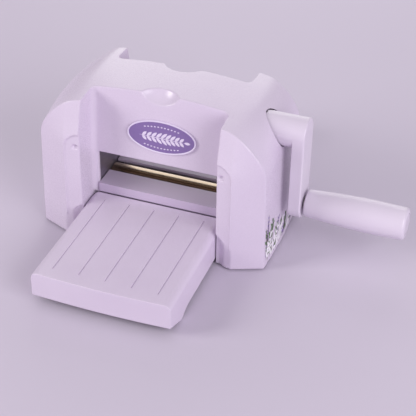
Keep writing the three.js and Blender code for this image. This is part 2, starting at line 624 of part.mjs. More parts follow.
// ---------------------------------------------------------------- crank
const SHAFT_END_X = ARM_OUTER_X - 3;
const PIN_X = HUB_START_X + PIN_OFFSET;
const PIN_BORE_RADIUS = PIN_RADIUS + RUNNING_GAP;
const PIN_REACH = HUB_RADIUS - 0.6;
place('crank_shaft', barX(JOURNAL_RADIUS, -SHORT_END, SHAFT_END_X, 0, CRANK_Z)
  .subtract(barZ(PIN_BORE_RADIUS, CRANK_Z - 9, CRANK_Z + 9, PIN_X, 0, 10)), STEEL);
place('hub_pin', barZ(PIN_RADIUS, CRANK_Z - PIN_REACH, CRANK_Z + PIN_REACH, PIN_X, 0, 10), STEEL);

function crankArm() {
  const outline = (half) => {
    const shape = new THREE.Shape();
    shape.absarc(0, CRANK_Z, half, 0, Math.PI, false);
    shape.absarc(0, HANDLE_Z, half, Math.PI, 2 * Math.PI, false);
    shape.closePath();
    return shape;
  };
  const shaftBore = barX(BORE_RADIUS, HUB_START_X - 1, SHAFT_END_X + CLEARANCE, 0, CRANK_Z);
  const pinBore = barZ(PIN_BORE_RADIUS, CRANK_Z - 14, CRANK_Z + 14, PIN_X, 0, 10);
  const threadBore = barX(THREAD_RADIUS + RUNNING_GAP, ARM_INNER_X + 1, ARM_OUTER_X + 1, 0, HANDLE_Z, 12);
  return slabX(outline(ARM_HALF_WIDTH), ARM_INNER_X, ARM_OUTER_X - ARM_RIM, 10)
    .add(slabX(outline(ARM_HALF_WIDTH - ARM_RIM), ARM_INNER_X, ARM_OUTER_X, 10))
    .add(barX(HUB_RADIUS, HUB_START_X, ARM_INNER_X + 1, 0, CRANK_Z, 28))
    .subtract(shaftBore)
    .subtract(pinBore)
    .subtract(threadBore);
}
place('crank_arm', crankArm(), HANDLE_LILAC);

// the spindle screws into the arm, and its head holds the grip on
const HEAD_X = GRIP_END_X - SPINDLE_HEAD.depth;
const HEAD_END_X = HEAD_X + SPINDLE_HEAD.thickness;
const THREAD_START_X = ARM_INNER_X + 1.3;
place('handle_spindle', turnedX([
  [THREAD_START_X, 0], [THREAD_START_X, THREAD_RADIUS], [ARM_OUTER_X + CLEARANCE, THREAD_RADIUS],
  [ARM_OUTER_X + CLEARANCE, SPINDLE_RADIUS], [HEAD_X, SPINDLE_RADIUS], [HEAD_X, SPINDLE_HEAD.radius],
  [HEAD_END_X, SPINDLE_HEAD.radius], [HEAD_END_X, 0],
], 0, HANDLE_Z, 16), STEEL);

function grip() {
  const neckCorner = 0.8;
  const profile = [
    [GRIP_START_X, 0], [GRIP_START_X, GRIP_NECK_RADIUS - neckCorner],
    [GRIP_START_X + neckCorner, GRIP_NECK_RADIUS],
  ];
  for (let i = 1; i <= 6; i += 1) {
    const x = GRIP_START_X + GRIP_LENGTH * GRIP_SWELL_SHARE * i / 6;
    const swell = Math.sin(Math.PI / 2 * i / 6);
    profile.push([x, THREE.MathUtils.lerp(GRIP_NECK_RADIUS, GRIP_SWELL_RADIUS, swell)]);
  }
  for (let i = 0; i <= 3; i += 1) {
    const angle = Math.PI / 2 * i / 3;
    profile.push([
      GRIP_END_X - GRIP_RIM + GRIP_RIM * Math.sin(angle),
      GRIP_END_RADIUS - GRIP_RIM + GRIP_RIM * Math.cos(angle),
    ]);
  }
  profile.push([GRIP_END_X, 0]);
  const headRoom = HEAD_X - CLEARANCE;
  return turnedX(profile, 0, HANDLE_Z, 24)
    .subtract(barX(SPINDLE_RADIUS + CLEARANCE, GRIP_START_X - 1, headRoom + 0.1, 0, HANDLE_Z, 16))
    .subtract(barX(SPINDLE_HEAD.radius + CLEARANCE, headRoom, GRIP_END_X + 1, 0, HANDLE_Z, 16))
    .subtract(barX(CAP_RADIUS, GRIP_END_X - CAP_THICKNESS, GRIP_END_X + 1, 0, HANDLE_Z, 20));
}
place('handle_grip', grip(), HANDLE_LILAC);
const CAP_INNER_X = GRIP_END_X - CAP_THICKNESS + CLEARANCE;
place('grip_cap', barX(CAP_RADIUS - CLEARANCE, CAP_INNER_X, GRIP_END_X, 0, HANDLE_Z, 20)
  .add(barX(SPINDLE_HEAD.radius - 0.4, HEAD_END_X + CLEARANCE, GRIP_END_X - 1, 0, HANDLE_Z, 12)),
HANDLE_LILAC);

// ---------------------------------------------------------------- slot decks
// each deck is the slot's floor, its lip, and the trough behind the tray's hinged end
function frontDeck() {
  // the floor reaches as near the lower roller as its thickness lets it
  const rise = ROLLER_RADIUS - ROLLER_PROUD - WALL;
  const cutout = Math.sqrt(ROLLER_RADIUS ** 2 - rise ** 2) + ROLLER_GAP;
  const outline = (grow) => {
    const shape = new THREE.Shape();
    const top = DECK_Z - grow;
    const lip = LIP_Y - grow;
    const radius = TROUGH_RADIUS + grow;
    const from = Math.acos((HINGE_Y - lip) / radius);
    const base = BASE_THICKNESS + CLEARANCE - (grow > 0 ? 2 : 0);
    const to = Math.asin((base - HINGE_Z) / radius);
    shape.moveTo(-cutout - grow, top);
    shape.lineTo(-lip, top);
    shape.lineTo(-lip, HINGE_Z + radius * Math.sin(from));
    shape.absarc(-HINGE_Y, HINGE_Z, radius, from, to, true);
    shape.lineTo(-cutout - grow, base);
    shape.closePath();
    return shape;
  };
  const reach = SLOT_HALF_WIDTH - CLEARANCE;
  const outer = slabX(outline(0), -reach, reach, 12);
  const inner = slabX(outline(WALL), -reach - 1, reach + 1, 12);
  const opening = box(-reach - 1, reach + 1, -cutout - WALL - 0.01, 0, -1, DECK_Z - WALL);
  return outer.subtract(inner).subtract(opening);
}
const deck = frontDeck();
place('front_deck', deck, DECK_LILAC);
place('rear_deck', mirrorY(deck), DECK_LILAC);

// ---------------------------------------------------------------- trays
function frontTray() {
  const back = -TRAY_BACK_Y;
  const nose = back - TRAY_LENGTH;
  const half = TRAY_HALF_WIDTH;
  // across: flat top, rounded upper edges, straight skirts
  const across = (inset, top, bottom) => {
    const shape = new THREE.Shape();
    const r = Math.max(1, TRAY_FILLET - inset);
    shape.moveTo(half - inset, bottom);
    shape.lineTo(half - inset, top - r);
    shape.absarc(half - inset - r, top - r, r, 0, Math.PI / 2, false);
    shape.absarc(-half + inset + r, top - r, r, Math.PI / 2, Math.PI, false);
    shape.lineTo(-half + inset, bottom);
    shape.closePath();
    return shape;
  };
  // along: hinged end, skirt line, foot and free end
  const along = new THREE.Shape();
  along.moveTo(back, TRAY_TOP_Z);
  along.lineTo(back, 9);
  along.lineTo(back - 2.2, 4.8);
  along.lineTo(back - 6, TRAY_SKIRT_Z);
  along.lineTo(back - TRAY_FOOT_RISE_BACK, TRAY_SKIRT_Z);
  along.quadraticCurveTo(back - TRAY_FOOT_RISE_BACK - 4, TRAY_SKIRT_Z - 0.4,
    back - TRAY_FOOT_BACK + 3, TRAY_FOOT_Z + 0.4);
  along.quadraticCurveTo(back - TRAY_FOOT_BACK, TRAY_FOOT_Z - 0.3,
    back - TRAY_FOOT_BACK - 3, TRAY_FOOT_Z + 1);
  along.lineTo(nose, TRAY_NOSE_Z);
  along.lineTo(nose - 4, TRAY_NOSE_Z - 1.6);
  along.lineTo(nose - 4, TRAY_TOP_Z);
  along.closePath();
  // plan: the free end bows out, and the corners are rounded
  const plan = new THREE.Shape();
  const bowRadius = (half * half + TRAY_BOW * TRAY_BOW) / (2 * TRAY_BOW);
  const bowAngle = Math.asin((half - 3) / bowRadius);
  plan.moveTo(-half, back - 3);
  plan.lineTo(-half + 3, back);
  plan.lineTo(half - 3, back);
  plan.lineTo(half, back - 3);
  plan.lineTo(half, nose + 3);
  plan.absarc(0, nose - TRAY_BOW + bowRadius, bowRadius,
    -Math.PI / 2 + bowAngle, -Math.PI / 2 - bowAngle, true);
  plan.lineTo(-half, nose + 3);
  plan.closePath();
  const planGeometry = new THREE.ExtrudeGeometry(
    plan, { depth: 40, bevelEnabled: false, curveSegments: 12 });
  planGeometry.translate(0, 0, -5);
  let tray = slabY(across(0, TRAY_TOP_Z, -5), nose - 6, back + 1, 6)
    .intersect(slabX(along, -half - 2, half + 2, 5))
    .intersect(solid(planGeometry));
  // the hollow underside, with the hinge ears left in
  const ceiling = TRAY_TOP_Z - TRAY_PLATE;
  const hollow = slabY(across(TRAY_SKIRT, ceiling, -6), nose + TRAY_SKIRT, back - TRAY_SKIRT, 4);
  const ear = barX(EAR_RADIUS, half - EAR_THICKNESS, half, -HINGE_Y, HINGE_Z, 16).add(box(
    half - EAR_THICKNESS, half, -HINGE_Y - EAR_RADIUS, -HINGE_Y + EAR_RADIUS, HINGE_Z, ceiling + 1));
  const pinBore = barX(
    HINGE_PIN_RADIUS + CLEARANCE, half - EAR_THICKNESS - 1, half + 1, -HINGE_Y, HINGE_Z, 12);
  tray = tray
    .subtract(hollow.subtract(ear).subtract(mirrorX(ear)))
    .subtract(pinBore)
    .subtract(mirrorX(pinBore));
  for (let i = 0; i < GROOVE_COUNT; i += 1) {
    const x = (i - (GROOVE_COUNT - 1) / 2) * GROOVE_PITCH;
    tray = tray.subtract(box(
      x - GROOVE_WIDTH / 2, x + GROOVE_WIDTH / 2, nose + GROOVE_MARGIN_FREE,
      back - GROOVE_MARGIN_HINGE, TRAY_TOP_Z - GROOVE_DEPTH, TRAY_TOP_Z + 1));
  }
  return tray;
}
const tray = frontTray();
place('front_tray', tray, TRAY_LILAC);
place('rear_tray', mirrorY(tray), TRAY_LILAC);

for (const [corner, side, end] of corners) {
  const inner = TRAY_HALF_WIDTH - EAR_THICKNESS + 1;
  const headX = RECESS_HALF_WIDTH + WALL + CLEARANCE;
  const pin = barX(HINGE_PIN_RADIUS, inner, headX + 1, end * HINGE_Y, HINGE_Z, 10).add(barX(
    HINGE_PIN_HEAD.radius, headX, headX + HINGE_PIN_HEAD.thickness, end * HINGE_Y, HINGE_Z, 10));
  place(`hinge_pin_${corner}`, side > 0 ? pin : mirrorX(pin), STEEL);
}

// ---------------------------------------------------------------- badge
function badge() {
  const slope = (PANEL_BOTTOM_Y - PANEL_TOP_Y) / (PANEL_TOP_Z - PANEL_BOTTOM_Z);
  const oval = new THREE.Shape();
  oval.absellipse(0, 0, BADGE.halfWidth, BADGE.halfHeight, 0, 2 * Math.PI, false);
  const geometry = new THREE.ExtrudeGeometry(oval, {
    depth: BADGE.thickness, bevelEnabled: false, curveSegments: 20,
  });
  geometry.rotateX(Math.PI / 2 - Math.atan(slope));
  const panelY = PANEL_BOTTOM_Y - (BADGE.z - PANEL_BOTTOM_Z) * slope;
  geometry.translate(BADGE.x, -panelY - 0.15, BADGE.z);
  return solid(geometry);
}
place('badge', badge(), BADGE_PURPLE);

export default object;
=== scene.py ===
# %% [markdown]
# # A hand-cranked die cutting machine
# The machine is a small roller press for paper craft. Its CAD frame already has every part in its
# true place, and this lesson dresses that frame: soft-edged mouldings, steel, print and light.

# %% Open the CAD frame
import json
import random
from math import atan, atan2, copysign, cos, pi, radians, sin, sqrt

import bmesh
import bpy
from mathutils import Matrix, Vector


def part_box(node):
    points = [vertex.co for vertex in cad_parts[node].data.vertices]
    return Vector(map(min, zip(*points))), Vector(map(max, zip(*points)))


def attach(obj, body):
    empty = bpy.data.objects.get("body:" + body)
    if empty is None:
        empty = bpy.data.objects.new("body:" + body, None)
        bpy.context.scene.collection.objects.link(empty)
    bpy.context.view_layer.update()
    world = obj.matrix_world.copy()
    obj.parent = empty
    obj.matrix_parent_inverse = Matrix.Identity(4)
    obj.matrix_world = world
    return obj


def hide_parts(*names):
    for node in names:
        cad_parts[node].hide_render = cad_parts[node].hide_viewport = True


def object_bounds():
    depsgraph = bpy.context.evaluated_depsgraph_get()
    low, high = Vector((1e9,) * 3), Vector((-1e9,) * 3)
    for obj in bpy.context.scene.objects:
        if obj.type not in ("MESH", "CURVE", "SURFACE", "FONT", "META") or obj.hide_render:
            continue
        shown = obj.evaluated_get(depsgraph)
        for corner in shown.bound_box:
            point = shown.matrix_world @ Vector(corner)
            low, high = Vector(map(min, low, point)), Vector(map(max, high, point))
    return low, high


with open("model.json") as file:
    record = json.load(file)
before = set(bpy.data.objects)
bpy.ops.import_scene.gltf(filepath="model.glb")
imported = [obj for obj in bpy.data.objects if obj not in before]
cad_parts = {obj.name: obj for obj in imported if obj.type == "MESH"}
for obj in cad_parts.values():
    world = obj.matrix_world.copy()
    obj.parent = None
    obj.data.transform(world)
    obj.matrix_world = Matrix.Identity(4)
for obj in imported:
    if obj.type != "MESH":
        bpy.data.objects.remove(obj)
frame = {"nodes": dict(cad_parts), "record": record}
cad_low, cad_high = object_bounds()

bpy.ops.object.select_all(action="DESELECT")
print(len(frame["nodes"]), "CAD nodes; the machine spans",
      [round(v, 4) for v in cad_high - cad_low])

# %% [markdown]
# ## Working in millimetres
# Blender counts in metres, and a maker measures this machine in millimetres. Each helper takes
# millimetres and works on one piece at a time, so that no operator touches anything else.

# %% Helpers that add a primitive at its size and place
MM = 0.001
X, Y, Z = 0, 1, 2
NEAR = 0.01               # mm; points closer than this to a line count as on it


def only(piece):
    bpy.ops.object.select_all(action="DESELECT")
    piece.select_set(True)
    bpy.context.view_layer.objects.active = piece


def settle(name):
    """Names the newest piece."""
    piece = bpy.context.object
    piece.name = piece.data.name = name
    only(piece)
    bpy.ops.object.transform_apply(location=True, rotation=True, scale=True)
    return piece


def block(name, low, high):
    centre = [(a + b) / 2 * MM for a, b in zip(low, high)]
    bpy.ops.mesh.primitive_cube_add(
        size=1, location=centre, scale=[(b - a) * MM for a, b in zip(low, high)])
    return settle(name)


def bar(name, radius, low, high, y, z, sides=64):
    """A round bar along X."""
    bpy.ops.mesh.primitive_cylinder_add(
        vertices=sides, radius=radius * MM, depth=(high - low) * MM,
        location=((low + high) / 2 * MM, y * MM, z * MM), rotation=(0, pi / 2, 0))
    return settle(name)


def post(name, radius, low, high, x, y, sides=48):
    """A round post along Z."""
    bpy.ops.mesh.primitive_cylinder_add(
        vertices=sides, radius=radius * MM, depth=(high - low) * MM,
        location=(x * MM, y * MM, (low + high) / 2 * MM))
    return settle(name)


# %% Helpers for edit mode: pick by place, bevel, slice, reshape
def pick(piece, kind, test):
    """Opens a piece in edit mode with just those of its parts selected that pass the test."""
    only(piece)
    bpy.ops.object.mode_set(mode="EDIT")
    bpy.ops.mesh.select_mode(type=kind)
    bpy.ops.mesh.select_all(action="DESELECT")
    net = bmesh.from_edit_mesh(piece.data)
    for part in {"VERT": net.verts, "EDGE": net.edges, "FACE": net.faces}[kind]:
        if test(part):
            part.select_set(True)
    bmesh.update_edit_mesh(piece.data)


def leave():
    bpy.ops.object.mode_set(mode="OBJECT")


def middle(edge):
    return (edge.verts[0].co + edge.verts[1].co) / 2 / MM


def runs(edge, axis):
    step = edge.verts[1].co - edge.verts[0].co
    return abs(step[axis]) > 0.99 * step.length


def round_edges(piece, radius, segments, test):
    pick(piece, "EDGE", test)
    bpy.ops.mesh.bevel(offset=radius * MM, segments=segments, affect="EDGES")
    leave()


def slice_piece(piece, axis, places):
    """Cuts new edge loops across a piece at these places, so that it can be bent there."""
    normal = [0, 0, 0]
    normal[axis] = 1
    for place in places:
        point = [0, 0, 0]
        point[axis] = place * MM
        pick(piece, "FACE", lambda face: True)
        bpy.ops.mesh.bisect(plane_co=point, plane_no=normal)
        leave()


def reshape(piece, rule):
    """Moves each vertex to where the rule puts it. The rule takes and gives x, y and z."""
    for vertex in piece.data.vertices:
        vertex.co = Vector(rule(*(vertex.co / MM))) * MM


# %% Helpers that finish a piece
def apply(piece, kind, **settings):
    step = piece.modifiers.new(kind.lower(), kind)
    for setting, value in settings.items():
        setattr(step, setting, value)
    only(piece)
    bpy.ops.object.modifier_apply(modifier=step.name)


def carve(piece, *tools, how="DIFFERENCE"):
    """Cuts the tools away from a piece, or joins them on, and uses them up."""
    for tool in tools:
        apply(piece, "BOOLEAN", object=tool, operation=how, solver="MANIFOLD")
        bpy.data.objects.remove(tool)


def mirrored(piece, axis, name=None):
    only(piece)
    bpy.ops.object.duplicate()
    copy = bpy.context.object
    copy.name = copy.data.name = name or piece.name + "_mirrored"
    scale = [1, 1, 1]
    scale[axis] = -1
    copy.scale = scale
    bpy.ops.object.transform_apply(location=True, rotation=True, scale=True)
    pick(copy, "FACE", lambda face: True)
    bpy.ops.mesh.normals_make_consistent(inside=False)
    leave()
    return copy


def soft_edges(piece, width, segments=3, angle=35):
    """Rounds every edge sharper than the angle, as a mould tool's edges are."""
    apply(piece, "BEVEL", width=width * MM, segments=segments, limit_method="ANGLE",
          angle_limit=radians(angle), miter_outer="MITER_ARC")


def polish(piece, angle=35):
    """Smooth shading that keeps broad flats flat."""
    only(piece)
    bpy.ops.object.shade_smooth_by_angle(angle=radians(angle))
    apply(piece, "WEIGHTED_NORMAL", keep_sharp=True)


def tidy(piece):
    """Merges a CAD copy's loose triangles and dissolves the lines across its flats."""
    pick(piece, "VERT", lambda vert: True)
    bpy.ops.mesh.remove_doubles(threshold=0.001 * MM)
    bpy.ops.mesh.dissolve_limited(angle_limit=radians(1))
    leave()


def report(piece):
    triangles = sum(len(face.vertices) - 2 for face in piece.data.polygons)
    print(f"{piece.name}: {triangles} triangles, {[round(v / MM, 1) for v in piece.dimensions]} mm")


# %% [markdown]
# ## Finishes
# Almost all that shows is injection-moulded ABS: opaque, satin, and a little mottled where the
# melt flowed. One small function adds a node, so each recipe below reads as a list of its nodes.

# %% Colours and nodes
def linear(hex_colour):
    """An sRGB hex colour as the linear RGBA that shaders want."""
    shares = [int(hex_colour[i:i + 2], 16) / 255 for i in (1, 3, 5)]
    return [s / 12.92 if s <= 0.04045 else ((s + 0.055) / 1.055) ** 2.4 for s in shares] + [1]


def add(tree, kind, props=None, values=None, links=None):
    """Adds a node with its properties, input values and incoming links."""
    node = tree.nodes.new(kind)
    for prop, value in (props or {}).items():
        setattr(node, prop, value)
    for socket, value in (values or {}).items():
        node.inputs[socket].default_value = value
    for socket, source in (links or {}).items():
        tree.links.new(source, node.inputs[socket])
    return node


def start(name, roughness, ior=1.5, metallic=0.0):
    material = bpy.data.materials.new(name)
    material.use_nodes = True
    shader = material.node_tree.nodes["Principled BSDF"]
    shader.inputs["IOR"].default_value = ior
    shader.inputs["Roughness"].default_value = roughness
    shader.inputs["Metallic"].default_value = metallic
    place = add(material.node_tree, "ShaderNodeTexCoord")
    return material, material.node_tree, shader, place.outputs["Object"]


def two_tones(tree, factor, first, second):
    return add(tree, "ShaderNodeMix", {"data_type": "RGBA"},
               {6: linear(first), 7: linear(second)}, {0: factor}).outputs[2]


# %% Moulded ABS: two close tones, and a fine spark-eroded grain
FLOW_SIZE = 45            # mm across one cloud of the melt's mottling
GRAIN_SIZE = 0.35         # mm; real spark grain is nearer 0.05, drawn coarser so that it shows
GRAIN_DEPTH = 0.012       # mm


def moulded_abs(name, pale, deep, roughness):
    material, tree, shader, place = start(name, roughness, ior=1.53)
    flow = add(tree, "ShaderNodeTexNoise", None,
               {"Scale": 1 / (FLOW_SIZE * MM), "Detail": 2.0, "Roughness": 0.4}, {"Vector": place})
    spread = add(tree, "ShaderNodeMapRange", None,
                 {"From Min": 0.3, "From Max": 0.7}, {"Value": flow.outputs[0]})
    tree.links.new(two_tones(tree, spread.outputs[0], pale, deep), shader.inputs["Base Color"])
    grain = add(tree, "ShaderNodeTexNoise", None,
                {"Scale": 1 / (GRAIN_SIZE * MM), "Detail": 1.0}, {"Vector": place})
    sheen = add(tree, "ShaderNodeMapRange", None,
                {"To Min": roughness - 0.03, "To Max": roughness + 0.04},
                {"Value": grain.outputs[0]})
    tree.links.new(sheen.outputs[0], shader.inputs["Roughness"])
    bump = add(tree, "ShaderNodeBump", None,
               {"Strength": 0.5, "Distance": GRAIN_DEPTH * MM}, {"Height": grain.outputs[0]})
    tree.links.new(bump.outputs[0], shader.inputs["Normal"])
    return material


LILAC_ABS = moulded_abs("satin lilac ABS", "#DACEE0", "#D5C8DC", 0.27)
TRAY_ABS = moulded_abs("satin lilac tray ABS", "#DBCFE1", "#D6C9DD", 0.34)
HANDLE_ABS = moulded_abs("pale lilac handle ABS", "#DDD3E2", "#D8CDDE", 0.3)
# The deck's lilac is darker than the housing's: painted shade for the slot's floor, lip and
# troughs, which lie in the housing's shade.
DECK_ABS_WITH_PAINTED_SHADE = moulded_abs("deck ABS darkened with painted shade", "#CBBCD4", "#C4B4CE", 0.4)
GREY_ABS = moulded_abs("grey base ABS", "#8F8896", "#857E8C", 0.55)
VIOLET_PAINT = moulded_abs("satin violet badge paint", "#8770A8", "#8069A1", 0.42)
PALE_PRINT = moulded_abs("pale pad-printed ink", "#E6DCF0", "#E0D4EC", 0.5)


# %% Metals: turned, rolled and cut
def worked_metal(name, pale, deep, roughness, streaks, depth):
    """Streaks are the marks' sizes in mm along X, Y and Z: long the way the tool went."""
    material, tree, shader, place = start(name, roughness, metallic=1.0)
    sized = add(tree, "ShaderNodeMapping", None,
                {"Scale": [1 / (size * MM) for size in streaks]}, {"Vector": place})
    marks = add(tree, "ShaderNodeTexNoise", None,
                {"Scale": 1.0, "Detail": 3.0}, {"Vector": sized.outputs[0]})
    tree.links.new(two_tones(tree, marks.outputs[0], pale, deep), shader.inputs["Base Color"])
    wear = add(tree, "ShaderNodeMapRange", None,
               {"To Min": roughness - 0.07, "To Max": roughness + 0.1}, {"Value": marks.outputs[0]})
    tree.links.new(wear.outputs[0], shader.inputs["Roughness"])
    bump = add(tree, "ShaderNodeBump", None,
               {"Strength": 0.4, "Distance": depth * MM}, {"Height": marks.outputs[0]})
    tree.links.new(bump.outputs[0], shader.inputs["Normal"])
    return material


# The roller steel's warm, pale cream tint is painted reflection of warm surroundings; its two tones
# follow the grinding marks.
GROUND_STEEL_WITH_PAINTED_REFLECTION = worked_metal("ground roller steel", "#BBAA94", "#9A8A79", 0.22, (0.5, 30, 30), 0.006)
# The zinc sheet's colour is much paler than dark zinc: painted light for the slot's ends, where
# little lamp light reaches.
ZINC_SHEET_WITH_PAINTED_LIGHT = worked_metal("dark zinc-plated sheet", "#B4ACB9", "#9C94A4", 0.5, (12, 12, 3), 0.01)
CUT_STEEL = worked_metal("cut gear steel", "#A3A1A2", "#8C8A8D", 0.38, (2, 6, 6), 0.01)
BRIGHT_ZINC = worked_metal("bright zinc-plated steel", "#C2C0BC", "#A8A6A5", 0.3, (4, 4, 4), 0.008)
BRONZE = worked_metal("sintered bronze", "#B98A55", "#9A6E42", 0.45, (0.6, 0.6, 0.6), 0.02)


# %% Rubber: nearly black, with a dry bloom
def dry_rubber(name):
    material, tree, shader, place = start(name, 0.85, ior=1.52)
    bloom = add(tree, "ShaderNodeTexNoise", None,
                {"Scale": 1 / (2.5 * MM), "Detail": 4.0}, {"Vector": place})
    tree.links.new(two_tones(tree, bloom.outputs[0], "#29272B", "#38353A"),
                   shader.inputs["Base Color"])
    return material


FOOT_RUBBER = dry_rubber("black rubber")
print(len(bpy.data.materials), "materials")


# %% Hand a finished piece over
def finish(piece, material, body, slot, *nodes):
    """Gives a piece its finish, its body and the CAD nodes that it stands for; the slot argument is
    not used.
    """
    if not any(piece.data.materials):
        piece.data.materials.clear()
        piece.data.materials.append(material)
    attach(piece, body)
    if nodes:
        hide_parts(*nodes)
    report(piece)


# %% [markdown]
# ## The housing
# The real housing is one thick moulding: two end lobes, a crowned top, and a deep bay at the front
# and the rear that a tray folds up into. It could be drawn as one subdivided cage, but its creases
# come from flat cuts through a crowned block. So the block is bevelled and bent first, the bays,
# scoops and channels are carved from it, and a fine remesh then rounds every edge at once.

# %% The housing's sizes, in mm
body_low, body_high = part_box("housing")
HALF_WIDTH = 86.4                 # at mid depth
SIDE_BOW, SIDE_DRAFT = 1.3, 1.3   # the sides draw in at the corners, and upwards
CORNER_DEPTH = 40
SHOULDER_RADIUS, SHOULDER_Z, SHOULDER_TURN = 34.5, 76, radians(82)
SHOULDER_EASE = 1.8               # at the lobe faces the arc is this much flatter at its middle
CROWN_ALONG_Y = 0.001             # the top falls by this times y squared
LOBE_FRONT, LOBE_RIDGE_X = 49.6, 62
LOBE_TOP_FRONT, LOBE_TOP_CORNER, LOBE_TOP_Z = 42.2, 40, 108.7
CREASE_Z, CREASE_SPREAD = 80, 6
BAY_HALF, BAY_FILLET = 50.9, 4.5
PANEL_FOOT_Z, PANEL_FOOT_Y, PANEL_TOP_Z, PANEL_TOP_Y = 59, 25.1, 113, 21.7
PANEL_SLOPE = (PANEL_FOOT_Y - PANEL_TOP_Y) / (PANEL_TOP_Z - PANEL_FOOT_Z)
SCOOP_RADIUS, SCOOP_OUT, SCOOP_UP = 19.4, 9.1, 9.7    # its middle, from the panel's top edge
CHANNEL_WIDTH = LOBE_RIDGE_X - BAY_HALF
CHANNEL_SPRING_Z, CHANNEL_INNER_Y, CHANNEL_STEP = 73, 46.7, 0.7
RELIEF_Y, RELIEF_INNER_Z, RELIEF_OUTER_Z = 45.1, 26, 17
RELIEF_FLAT, RELIEF_RISE = (2.7, 3.4), 3.6            # level strips beside a sloping one
POCKET_RADIUS, POCKET_X, POCKET_Y, POCKET_Z = 2.1, 54.2, 47.6, 74
SLOT_HALF = 46.8
HINGE_Y, HINGE_Z, TROUGH_RADIUS = 37.1, 15.7, 14.56
PIN_HOLE = 2.5
WALL = 2.4
CRANK_Z = 92.425
HUB_RADIUS, HUB_GAP = 11.4, 0.8
PAST, UNDER = 70, -4              # cutters reach this far out and this far down
NEARER = -60                      # a cutter's inner face is the one nearer than this
print("housing", [round(v / MM, 1) for v in body_high - body_low], "mm")


# %% The crowned block
def crowned_block(inset, segments, floor):
    """A box with two great rounded shoulders, then crowned, bowed and drafted."""
    half = HALF_WIDTH - SIDE_DRAFT - inset
    radius = SHOULDER_RADIUS - inset
    depth = LOBE_FRONT + 4        # the lobe faces are cut from this spare length
    piece = block("housing", (-half, -depth, floor), (half, depth, SHOULDER_Z + radius))
    round_edges(piece, radius, segments,
                lambda edge: runs(edge, Y) and middle(edge).z > SHOULDER_Z)
    slice_piece(piece, X, range(-50, 51, 5))
    slice_piece(piece, Y, range(-50, 51, 5))
    inner = half - radius
    crown_start = inner + radius * cos(SHOULDER_TURN)
    crown_start_z = SHOULDER_Z + radius * sin(SHOULDER_TURN)
    lean = pi / 2 - SHOULDER_TURN
    crown_radius = crown_start / sin(lean)
    crown_centre_z = crown_start_z - crown_radius * cos(lean)

    def rule(x, y, z):
        if z >= crown_start_z - NEAR:
            z = crown_centre_z + sqrt(crown_radius ** 2 - x ** 2)
        elif z > SHOULDER_Z:
            turn = atan2(z - SHOULDER_Z, abs(x) - inner)
            share = min(1, (y / CORNER_DEPTH) ** 2)
            ease = SHOULDER_EASE * share * sin(pi * turn / SHOULDER_TURN) ** 2
            x -= copysign(ease * cos(turn), x)
            z -= ease * sin(turn)
        if abs(x) > inner + NEAR:
            x += copysign(SIDE_DRAFT * max(0, 1 - z / SHOULDER_Z), x)
        bow = SIDE_BOW * (y / CORNER_DEPTH) ** 2
        x -= copysign(bow * min(1, abs(x) / inner), x)
        if z >= SHOULDER_Z - NEAR:
            z -= CROWN_ALONG_Y * y * y
        return x, y, z

    reshape(piece, rule)
    return piece


# %% The lobe faces: swept back at the corners, leaning back above a soft crease
def lobe_block(inset):
    """The block between the front and rear lobe faces, cut finely enough to twist smoothly."""
    reach, top = HALF_WIDTH + 9, 124
    corner = HALF_WIDTH - SIDE_BOW
    sweep = (LOBE_FRONT - CORNER_DEPTH) / (corner - LOBE_RIDGE_X)
    top_sweep = (LOBE_TOP_FRONT - LOBE_TOP_CORNER) / (corner - BAY_HALF)
    start_z = CREASE_Z - CREASE_SPREAD
    rise = LOBE_TOP_Z - CREASE_Z
    piece = block("lobes", (-reach, -LOBE_FRONT, UNDER), (reach, LOBE_FRONT, top))
    steps = range(0, 30, 3)
    slice_piece(piece, X, [side * (LOBE_RIDGE_X + step) for side in (-1, 1) for step in steps])
    slice_piece(piece, Z, range(start_z, top - 1))

    def rule(x, y, z):
        if z <= start_z:
            lean = 0
        elif z < CREASE_Z + CREASE_SPREAD:
            lean = (z - start_z) ** 2 / (4 * CREASE_SPREAD * rise)
        else:
            lean = (z - CREASE_Z) / rise
        across = max(abs(x), LOBE_RIDGE_X)
        thick = inset * (1 + max(0, z - start_z) / rise)
        low = LOBE_FRONT - (across - LOBE_RIDGE_X) * sweep
        high = LOBE_TOP_FRONT - (across - BAY_HALF) * top_sweep
        return x, copysign(low + (high - low) * lean - thick, y), z

    reshape(piece, rule)
    return piece


# %% The cutters of one bay; grown by a wall's thickness, they leave a wall
def bay(grow):
    half = BAY_HALF + grow
    piece = block("bay", (-half, -PAST, UNDER), (half, grow - PANEL_FOOT_Y, 126))
    round_edges(piece, BAY_FILLET + grow, 8,
                lambda edge: runs(edge, Z) and middle(edge).y > NEARER)
    slice_piece(piece, Z, (PANEL_FOOT_Z,))
    reshape(piece, lambda x, y, z: (
        x, y + (y > NEARER) * max(0, z - PANEL_FOOT_Z) * PANEL_SLOPE, z))
    return piece


def trough(grow):
    """The room that a tray's hinged end swings through."""
    return bar("trough", TROUGH_RADIUS + grow, -BAY_HALF - grow, BAY_HALF + grow,
               -HINGE_Y, HINGE_Z, 96)


def scoop(grow):
    """The finger scoop in the panel's top edge is a shallow bite of a ball."""
    bpy.ops.mesh.primitive_uv_sphere_add(
        segments=96, ring_count=48, radius=(SCOOP_RADIUS + grow) * MM,
        location=(0, (-PANEL_TOP_Y - SCOOP_OUT) * MM, (PANEL_TOP_Z + SCOOP_UP) * MM))
    return settle("scoop")


